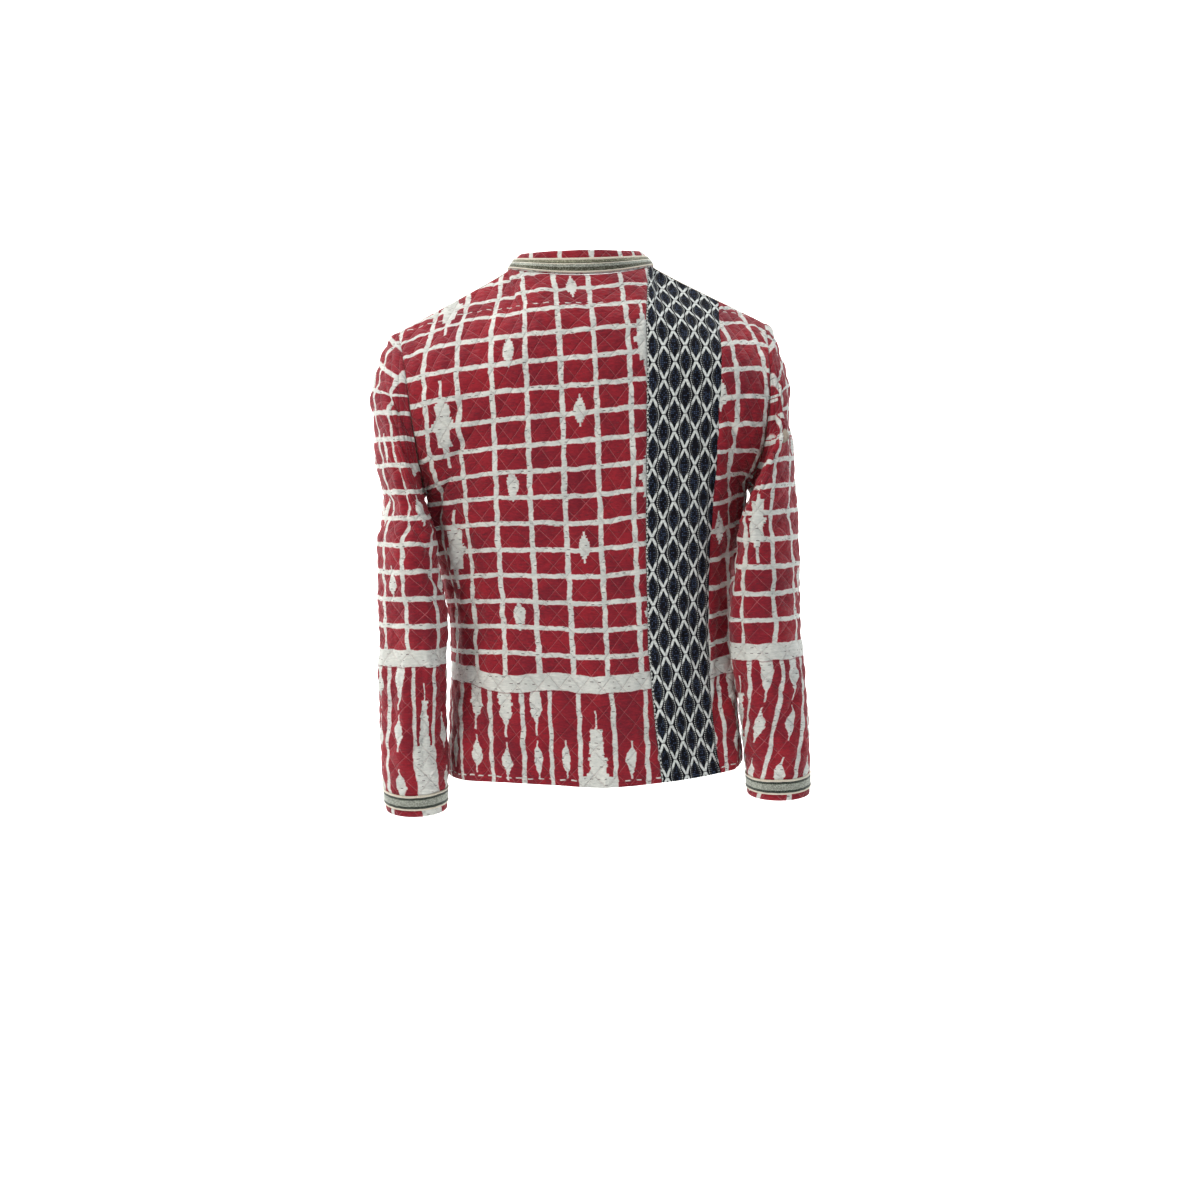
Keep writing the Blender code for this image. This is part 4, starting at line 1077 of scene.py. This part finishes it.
# Finer creases of the sleeves, laid out in the same way
LEFT_SLEEVE_CREASES = np.array([
    # thousandths of a turn round the arm, height, turn, length, width, depth
    (338, -250, 3, 70, 6, -4.3),
    (360, -255, 3, 70, 8, 2.6),
    (300, -155, 60, 40, 7, -7.5),
    (260, -178, 52, 36, 7, 2.9),
    (235, -190, 44, 36, 6, -6.2),
    (420, -262, 80, 30, 6, -4.3),
    (360, -285, 60, 34, 6, -5.6),
    (300, -310, 68, 34, 7, 2.6),
    (240, -335, 58, 36, 6, -5),
    (480, -300, 96, 30, 7, 2.3),
    (200, -420, 4, 50, 4, -1.5),
    (225, -420, 4, 50, 4, 1.5),
    (250, -420, 4, 50, 4, -1.5),
    (275, -420, 4, 50, 4, 1.5),
    (270, -500, 2, 80, 4, -4),
    (310, -500, 3, 80, 8, 2.9),
    (230, -520, 1, 70, 4, -3.4),
    (380, -500, 4, 70, 8, -2.3),
    (650, -200, -55, 40, 7, -4.9),
    (700, -225, -48, 36, 7, 3.2),
    (640, -300, -70, 36, 6, -4.3),
    (720, -330, -62, 36, 6, -3.8),
    (680, -460, -4, 90, 7, -3.8),
    (780, -480, 3, 80, 7, 2.9),
    (880, -420, 6, 80, 6, -3.8),
    (60, -300, 8, 70, 7, -4.3),
    (110, -460, 4, 80, 7, -3.8),
    (30, -285, 6, 50, 12, 3.6),
    (295, -500, 2, 60, 3.6, -3.2),
    (330, -480, 4, 50, 4, -2.6),
])
RIGHT_SLEEVE_CREASES = np.array([
    # thousandths of a turn round the arm, height, turn, length, width, depth
    (170, -330, 3, 100, 7, -6.5),
    (200, -330, 3, 100, 8, 3.2),
    (250, -190, 50, 30, 7, -7.8),
    (220, -200, -40, 34, 7, -7.8),
    (280, -215, 55, 34, 7, 3.2),
    (300, -176, 78, 30, 6, -5.5),
    (270, -475, -35, 30, 6, -5.8),
    (240, -450, -20, 40, 7, 3.2),
    (330, -300, 70, 30, 7, -2.9),
    (400, -330, 84, 34, 8, -2.6),
    (360, -520, 2, 70, 8, -2.9),
    (220, -540, 3, 60, 6, -3.8),
    (300, -420, 4, 60, 5, -1.4),
    (650, -210, -52, 40, 7, -5.2),
    (700, -235, -44, 36, 7, 3.2),
    (660, -330, -66, 36, 6, -4.1),
    (740, -350, -58, 36, 6, -3.5),
    (700, -480, -3, 90, 7, -4.1),
    (800, -470, 4, 80, 7, 2.9),
    (900, -400, 5, 80, 6, -3.8),
    (60, -320, 6, 80, 7, -4.3),
    (110, -500, 3, 80, 7, -3.8),
])

# The left sleeve's stripes: metres round it from its outer line to those numbered -1 to 7
LEFT_SLEEVE_STRIPES = np.array([
    -0.127, -0.089, -0.051, -0.013, 0.025, 0.065, 0.088, 0.126, 0.164,
])


def armhole(turn):
    """The armhole seam of the right arm: 0 at the underarm, over the back to 0.5 at the tip."""
    turn = np.asarray(turn, float) % 1.0
    back = turn <= 0.5
    w = np.where(back, turn * 2, (1 - turn) * 2)
    over_back = np.stack([column(ARMHOLE_BACK, n, w) for n in (1, 2, 3)], -1)
    over_front = np.stack([column(ARMHOLE_FRONT, n, w) for n in (1, 2, 3)], -1)
    return np.where(back[..., None], over_back, over_front)


def arm_angle(turn):
    """Where a turn of the armhole lies round the arm: the underarm comes forward of the side
    next to the body, and the tip of the shoulder stays opposite it."""
    return 2 * np.pi * turn - UNDERARM_FORWARD * np.cos(np.pi * turn) ** 2


def sleeve_ring(turn, height, table):
    """A point of the hanging sleeve: a slanted oval at each height, tilted at the cuff."""
    angle = arm_angle(turn)
    across = -np.cos(angle) * column(table, 3, height)
    deep = -np.sin(angle) * column(table, 4, height)
    tilt = CUFF_TILT * ease(-0.40, CUFF, height)
    x = column(table, 1, height) + across + column(table, 5, height) * deep
    y = column(table, 2, height) + deep
    return np.stack([x, y, height + tilt * deep], -1)


def sleeve(turn, m, table):
    """A sleeve of the right arm. m runs in rows: 0 at the armhole, CAP_ROWS where the whole ring
    hangs level, and SLEEVE_ROWS at the end of the cuff. In between, a cubic curve leaves the
    armhole outwards and comes to the ring downwards."""
    turn, m = np.broadcast_arrays(np.asarray(turn, float), np.asarray(m, float))
    m = np.clip(m, 0, SLEEVE_ROWS)
    share = np.clip(m / CAP_ROWS, 0, 1)[..., None]
    ring = np.full(turn.shape, RING_TOP)
    start = armhole(turn)
    end = sleeve_ring(turn, ring, table)
    lift = np.sin(np.pi * turn) ** 2
    leave = np.stack(
        [0.45 + 0.35 * lift, -0.25 * np.sin(2 * np.pi * turn), -(0.85 - 0.20 * lift)], -1
    )
    reach = np.linalg.norm(end - start, axis=-1, keepdims=True)
    below = (sleeve_ring(turn, ring - 0.01, table) - end) / 0.01
    start_pull = reach * (0.95 - 0.25 * lift[..., None])
    cap = cubic(share, start, unit(leave) * start_pull, end, below * reach * 0.95)
    height = RING_TOP - np.clip(m - CAP_ROWS, 0, None) * ARM_STEP
    arm = sleeve_ring(turn, np.clip(height, CUFF, RING_TOP), table)
    return np.where((m <= CAP_ROWS)[..., None], cap, arm)


def sleeve_normal(turn, m, table):
    """Unit directions straight out of the sleeve: across its steps round it and along it."""
    around = sleeve(turn + 3e-3, m, table) - sleeve(turn - 3e-3, m, table)
    along = sleeve(turn, m + 0.05, table) - sleeve(turn, m - 0.05, table)
    return unit(np.cross(along, around))


def arm_folds(table, turn, height):
    """Folds of a sleeve at a turn and a height. The table is laid down three times, a girth
    apart, so that its folds run on over the seam under the arm."""
    place = arm_angle(turn) / (2 * np.pi) * SLEEVE_GIRTH
    lift = np.zeros(turn.shape)
    for shift in (-1, 0, 1):
        moved = table.copy()
        moved[:, 0] = (moved[:, 0] + 1000 * shift) * SLEEVE_GIRTH
        lift = lift + folds(moved, place, height)
    return lift


def sleeve_cloth(side, rows, table, fold_table, crease_table):
    """(points, turn, m, metres round, metres up) of a sleeve with its folds and creases. Its rows
    run from the cuff up and its columns so that their cross product points out of the sleeve;
    metres run from the outer line towards the back of the arm, and up from row CAP_ROWS."""
    turns = np.linspace(0, 1, SLEEVE_COLUMNS * SLEEVE_FINE + 1)[::side]
    turn, m = np.meshgrid(turns, rows[::-1])
    to_end = SLEEVE_ROWS - m
    point, normal = sleeve(turn, m, table), sleeve_normal(turn, m, table)
    lift = arm_folds(fold_table, turn, point[..., 2]) * ease(0, 3, m) * ease(0, 3, to_end)
    point = point + normal * lift[..., None]
    across = np.hypot(*np.moveaxis(np.diff(point, axis=1)[..., :2], -1, 0))
    around = np.concatenate([np.zeros((len(rows), 1)), np.cumsum(across, 1)], 1)
    rise = np.linalg.norm(np.diff(point, axis=0), axis=-1)
    up = np.concatenate([np.zeros((1, len(turns))), np.cumsum(rise, 0)], 0)
    up = up - up[np.argmin(np.abs(rows[::-1] - CAP_ROWS))]
    lift = ripples(np.sin(2 * np.pi * turn) * 0.07, point[..., 2])
    lift = lift + arm_folds(crease_table, turn, point[..., 2])
    lift = lift * ease(0, 2, m) * ease(1.6, 4.5, to_end)
    point = point + normal * lift[..., None]
    point[..., 0] *= side
    return point, turn, m, -side * from_middle(around), up


def tube_out(point):
    """Unit directions straight out of a closed sleeve, the same on both sides of its seam."""
    out = grid_out(point)
    out[:, 0] = out[:, -1] = unit(out[:, 0] + out[:, -1])
    return out


left_print = quilted_print("left_sleeve_print", 1, (2, 3), 4, False, (), 1.63)
right_print = quilted_print("right_sleeve_print", 2, (2, 3), 4, True, (), 1.73)
SLEEVES = {
    "sleeve_left": (-1, SLEEVE_LEFT, LEFT_SLEEVE_FOLDS, LEFT_SLEEVE_CREASES, left_print),
    "sleeve_right": (1, SLEEVE_RIGHT, RIGHT_SLEEVE_FOLDS, RIGHT_SLEEVE_CREASES, right_print),
}
for title, (side, table, fold_table, creases, finish) in SLEEVES.items():
    rows = np.linspace(0, SLEEVE_ROWS, SLEEVE_ROWS * 6 + 1)
    point, turn, m, signed, up = sleeve_cloth(side, rows, table, fold_table, creases)
    i, j = turn * SLEEVE_COLUMNS, m
    to_cuff = (SLEEVE_ROWS - m) * ARM_STEP
    held = ease(0, FLAT_SEAM, m * LATTICE) * ease(0.024, 0.031, to_cuff)
    under = bell(np.minimum(turn, 1 - turn), 0.10) * (1 - ease(12, 15, m))
    lift = pillows(i, j) * PUFF * held * (1 - 0.8 * under)
    lift -= SEAM_DEPTH * bell(m * LATTICE, SEAM_WIDTH)
    lift += 0.0004 * bell(to_cuff - 0.0035, 0.0025)
    out = tube_out(point)
    outer = point + out * lift[..., None]
    inner = point - out * CLOTH
    level = up + 0.32 * signed * ease(0.150, 0.180, up)
    if side < 0:
        grid = ((signed - 0.020) / GRID_ACROSS, (level + 0.0088) / SLEEVE_GRID_UP + 3)
        stripes = np.interp(signed, LEFT_SLEEVE_STRIPES, np.arange(-1, 8))
        border = (stripes, -0.147 - up)
    else:
        grid = ((signed - 0.0655) / GRID_ACROSS + 1, (level + 0.0158) / SLEEVE_GRID_UP + 1)
        slant = 0.235 * np.clip(-0.190 - up, 0, None)
        border = ((signed - 0.0585 - slant) / 0.038 + 3, -0.1545 - up)
    maps = {"cloth": (signed, up), "grid": grid, "border": border, "quilting": (i, j)}
    piece = cloth_mesh(title + "_cloth", outer, inner, maps, tube=True)
    fitted(piece, title, finish, lining)


# The collar band: a low stand of the quilted cotton round the neck, open at the front.
# It is sewn into the neck seam and leans a little inwards; its ends almost meet in front.

COLLAR_LEAN = 0.014
COLLAR_RISE = 0.017
COLLAR_BACK_RISE = 0.011
COLLAR_FINE = 6


def collar(turn, rise):
    """The stand collar from the neck seam (rise 0) to its top (1). turn runs once round the neck:
    0 at the centre back, +-0.5 at the shoulders and +-1 at the centre front."""
    turn, rise = np.broadcast_arrays(np.asarray(turn, float), np.asarray(rise, float))
    share = NECK_COLUMNS / COLUMNS
    size = np.abs(turn)
    back = top_line(np.clip(size * 2, 0, 1) * share, False)
    front = top_line(np.clip(2 - size * 2, 0, 1) * share, True)
    base = np.where((size <= 0.5)[..., None], back, front)
    angle = np.pi * size
    lean = COLLAR_LEAN * (0.40 + 0.60 * np.sin(angle) ** 2)
    stand = COLLAR_RISE + COLLAR_BACK_RISE * np.cos(angle) ** 2
    inward = np.stack([-np.sin(angle), np.cos(angle), 0 * angle], -1)
    up = np.array([0.0, 0.0, 1.0])
    bow = 0.0015 * np.sin(np.pi * rise)
    point = base + inward * (lean * rise - bow)[..., None] + up * (stand * rise)[..., None]
    point[..., 0] *= np.sign(turn) + (turn == 0)
    return point


def collar_grid(rises):
    """(points, rise) of the collar. Columns run from the left end round the back to the right
    one, and rows up, so that their cross product points out."""
    turns = np.linspace(-1, 1, 4 * NECK_COLUMNS * COLLAR_FINE + 1)
    turns[[0, -1]] *= 1 - 0.006
    turn, rise = np.meshgrid(turns, rises)
    return collar(turn, rise), rise


point, rise = collar_grid(np.linspace(0, 1, 15))
around, up = lengths(point)
signed = from_middle(around)
out = grid_out(point)
uneven = ripples(signed, up)
wave = uneven * 0.8 * ease(0, 0.3, rise)
puffed = 0.0006 * np.sin(np.pi * rise) * ease(0.62, 0.8, rise)
outer = point + out * (wave + puffed)[..., None]
inner = point + out * (wave - CLOTH)[..., None]
grid = ((signed - 0.0080) / 0.036, 1.9 + up / GRID_UP)
border = (signed * 0, signed * 0 - 0.2)
quilting = (signed / LATTICE, up / LATTICE)
maps = {"cloth": (signed, up + 0.2), "grid": grid, "border": border, "quilting": quilting}
band = cloth_mesh("collar_band_cloth", outer, inner, maps)
fitted(band, "collar_band", body_print, lining)


# The metallic braid: a flat woven trimming stitched down along both its edges, once round the
# lower part of the collar and once round each cuff. Dull silver and dark olive threads
# between two cream cords.

BRAID = 0.0010
BRAID_GAP = 0.0003
BRAID_LOW = 0.008
BRAID_HIGH = 0.0255


def metallic_braid(name, bands):
    """On the map "braid" the first value is metres along and the second the share of the width.
    bands lists, from the bottom up, where each one ends, its colour and how it glitters: how
    metallic it is and how much painted glint it has."""
    cloth = Finish(name, 0.5, 0.05)
    along, share = cloth.map("braid")
    at = share + cloth.cloud(along, share * 0.01, 160, 1.0) * 0.035
    grain_and_glints = cloth.lot((along / 0.0007).floor(), (share * 18.0).floor())
    colour, metal = None, bands[0][2]
    for end, tone, glitter in bands:
        # Painted glints: random grains of the band get a lighter copy of its colour, more where it
        # glitters more
        light = tuple(min(1.0, c * 2.4 + 0.10) for c in tone)
        here = cloth.mixed((grain_and_glints - 0.45).most(0.0) * (2.6 * glitter), tone, light)
        if colour is None:
            colour = here
        else:
            beyond = at.over(last, 0.02)
            colour = cloth.mixed(beyond, colour, here)
            metal = beyond * (glitter - before) + metal
        last, before = end, glitter
    cloth.tree.links.new(metal.least(0.75).socket, cloth.shader.inputs["Metallic"])
    twist = (along / 0.0022 + share * 1.6).from_whole()
    cords = abs(share - 0.5).over(0.40, 0.04)
    ribs = (along / 0.0014).from_whole() * (1.0 - cords)
    relief = grain_and_glints * 0.30 + twist * cords * 1.2 + ribs * 0.5
    return cloth.end(colour, relief, 0.0008)


CREAM = (0.72, 0.67, 0.55)
OLIVE = (0.060, 0.064, 0.042)
SILVER = (0.23, 0.25, 0.215)
PALE_OLIVE = (0.150, 0.155, 0.105)
GREEN = (0.020, 0.030, 0.022)
collar_finish = metallic_braid(
    "collar_braid",
    (
        (0.12, CREAM, 0.1),
        (0.38, OLIVE, 0.6),
        (0.58, SILVER, 0.5),
        (0.63, CREAM, 0.3),
        (0.70, OLIVE, 0.6),
        (0.86, PALE_OLIVE, 0.6),
        (1.0, CREAM, 0.1),
    ),
)
cuff_finish = metallic_braid(
    "cuff_braid",
    (
        (0.12, CREAM, 0.1),
        (0.29, GREEN, 0.4),
        (0.71, SILVER, 0.45),
        (0.87, GREEN, 0.4),
        (1.0, CREAM, 0.1),
    ),
)


def braid_relief(share):
    """How far the braid stands above its own ground, at a share of its width: two round cords
    along its edges and a low swelling between them."""
    cords = bell(share - 0.06, 0.055) + bell(share - 0.94, 0.055)
    return 0.0007 * cords + 0.0002 * np.sin(np.pi * share) ** 2


def laid_braid(name, point, out, signed, share, uneven, tube):
    """A braid on a cloth: its back stands off by the gap, and its face by its relief as well."""
    high = BRAID_GAP + BRAID + braid_relief(share)[:, None] + uneven
    maps = {"braid": (signed, np.repeat(share[:, None], signed.shape[1], 1))}
    outer, inner = point + out * high[..., None], point + out * BRAID_GAP
    return cloth_mesh(name, outer, inner, maps, tube=tube)


share = np.linspace(0, 1, 19)
point, _ = collar_grid(0.06 + 0.60 * share)
signed = from_middle(lengths(point)[0])
uneven = uneven[4] * 0.2
braid = laid_braid("collar_braid_woven", point, grid_out(point), signed, share, uneven, False)
fitted(braid, "collar_braid", collar_finish, collar_finish)

for title, (side, table, fold_table, creases, finish) in SLEEVES.items():
    share = np.linspace(0, 1, 15)
    rows = SLEEVE_ROWS - (BRAID_LOW + (BRAID_HIGH - BRAID_LOW) * share[::-1]) / ARM_STEP
    point, _, _, signed, _ = sleeve_cloth(side, rows, table, fold_table, creases)
    name = title.replace("sleeve", "cuff_braid")
    braid = laid_braid(name + "_woven", point, tube_out(point), signed, share, 0.0, True)
    fitted(braid, name, cuff_finish, cuff_finish)


# The room: a pale seamless sheet of paper well below the jacket, that curves up behind it.
# Soft daylight from a large window high on the left, and a fainter fill from the right.

paper = bpy.data.materials.new("pale_paper")
paper.use_nodes = True
shader = paper.node_tree.nodes["Principled BSDF"]
shader.inputs["Base Color"].default_value = (0.90, 0.895, 0.885, 1.0)
shader.inputs["Roughness"].default_value = 0.9
angle = np.linspace(0, np.pi / 2, 25)
depth = np.concatenate([[-6.0], 1.4 + 1.2 * np.sin(angle), [2.6]])
height = np.concatenate([[-1.0], 0.2 - 1.2 * np.cos(angle), [5.0]])
sides = np.tile([-6.0, 6.0], len(depth))
points = np.stack([sides, np.repeat(depth, 2), np.repeat(height, 2)], -1)
first = np.arange(len(depth) - 1) * 2
faces = np.stack([first, first + 1, first + 3, first + 2], -1)
mesh = bpy.data.meshes.new("paper")
mesh.from_pydata(points.tolist(), [], faces.tolist())
mesh.polygons.foreach_set("use_smooth", np.ones(len(first), bool))
mesh.materials.append(paper)
backdrop = placed("paper", mesh)


def aimed(thing, place, towards, roll=0.0):
    """Places a light or a camera and turns it to look at a point."""
    forward = unit(np.array(towards, float) - np.array(place, float))
    level = unit(np.cross(forward, [0.0, 0.0, 1.0]))
    upward = np.cross(level, forward)
    right = level * np.cos(roll) - upward * np.sin(roll)
    upward = level * np.sin(roll) + upward * np.cos(roll)
    matrix = np.eye(4)
    matrix[:3, :3] = np.stack([right, upward, -forward], 1)
    matrix[:3, 3] = place
    thing.matrix_world = mathutils.Matrix(matrix.tolist())


LIGHTS = {
    # light: place, point it faces, size, strength, colour
    "window": ((-1.9, -1.6, 1.7), (0, 0, -0.20), 0.8, 62, (1.0, 0.94, 0.87)),
    "fill": ((1.9, -2.4, -0.1), (0, 0, -0.3), 2.4, 15, (0.94, 0.97, 1.0)),
    "over": ((0.3, 0.2, 2.3), (0, 0, -0.2), 1.2, 22, (1.0, 0.98, 0.96)),
    "paper_left": ((-1.6, 0.9, 0.9), (-0.6, 2.6, -0.2), 1.6, 75, (1.0, 1.0, 1.0)),
    "paper_right": ((1.6, 0.9, 0.9), (0.6, 2.6, -0.2), 1.6, 75, (1.0, 1.0, 1.0)),
}
for title, (place, towards, size, strength, colour) in LIGHTS.items():
    light = bpy.data.lights.new(title, "AREA")
    light.shape = "SQUARE"
    light.size = size
    light.energy = strength
    light.color = colour
    lamp = placed(title, light)
    aimed(lamp, place, towards)
world = bpy.data.worlds.new("room")
world.use_nodes = True
sky = world.node_tree.nodes["Background"]
sky.inputs["Color"].default_value = (0.93, 0.95, 1.0, 1.0)
sky.inputs["Strength"].default_value = 0.27
bpy.context.scene.world = world

TURN = np.radians(-6.0)
back_way = np.array([np.sin(TURN), -np.cos(TURN), 0.0])
right_way = np.array([np.cos(TURN), np.sin(TURN), 0.0])
eye = back_way * 2.57 + np.array([0.0, 0.0, -0.21]) + right_way * 0.011
pitch = np.radians(3.9)
ahead = eye - back_way * np.cos(pitch) - np.array([0.0, 0.0, np.sin(pitch)])
view = bpy.data.cameras.new("view")
view.lens = 66
view.sensor_width = 36
camera = placed("view", view)
aimed(camera, eye, ahead, np.radians(1.8))
bpy.context.scene.camera = camera
bpy.context.scene.view_settings.view_transform = "Standard"
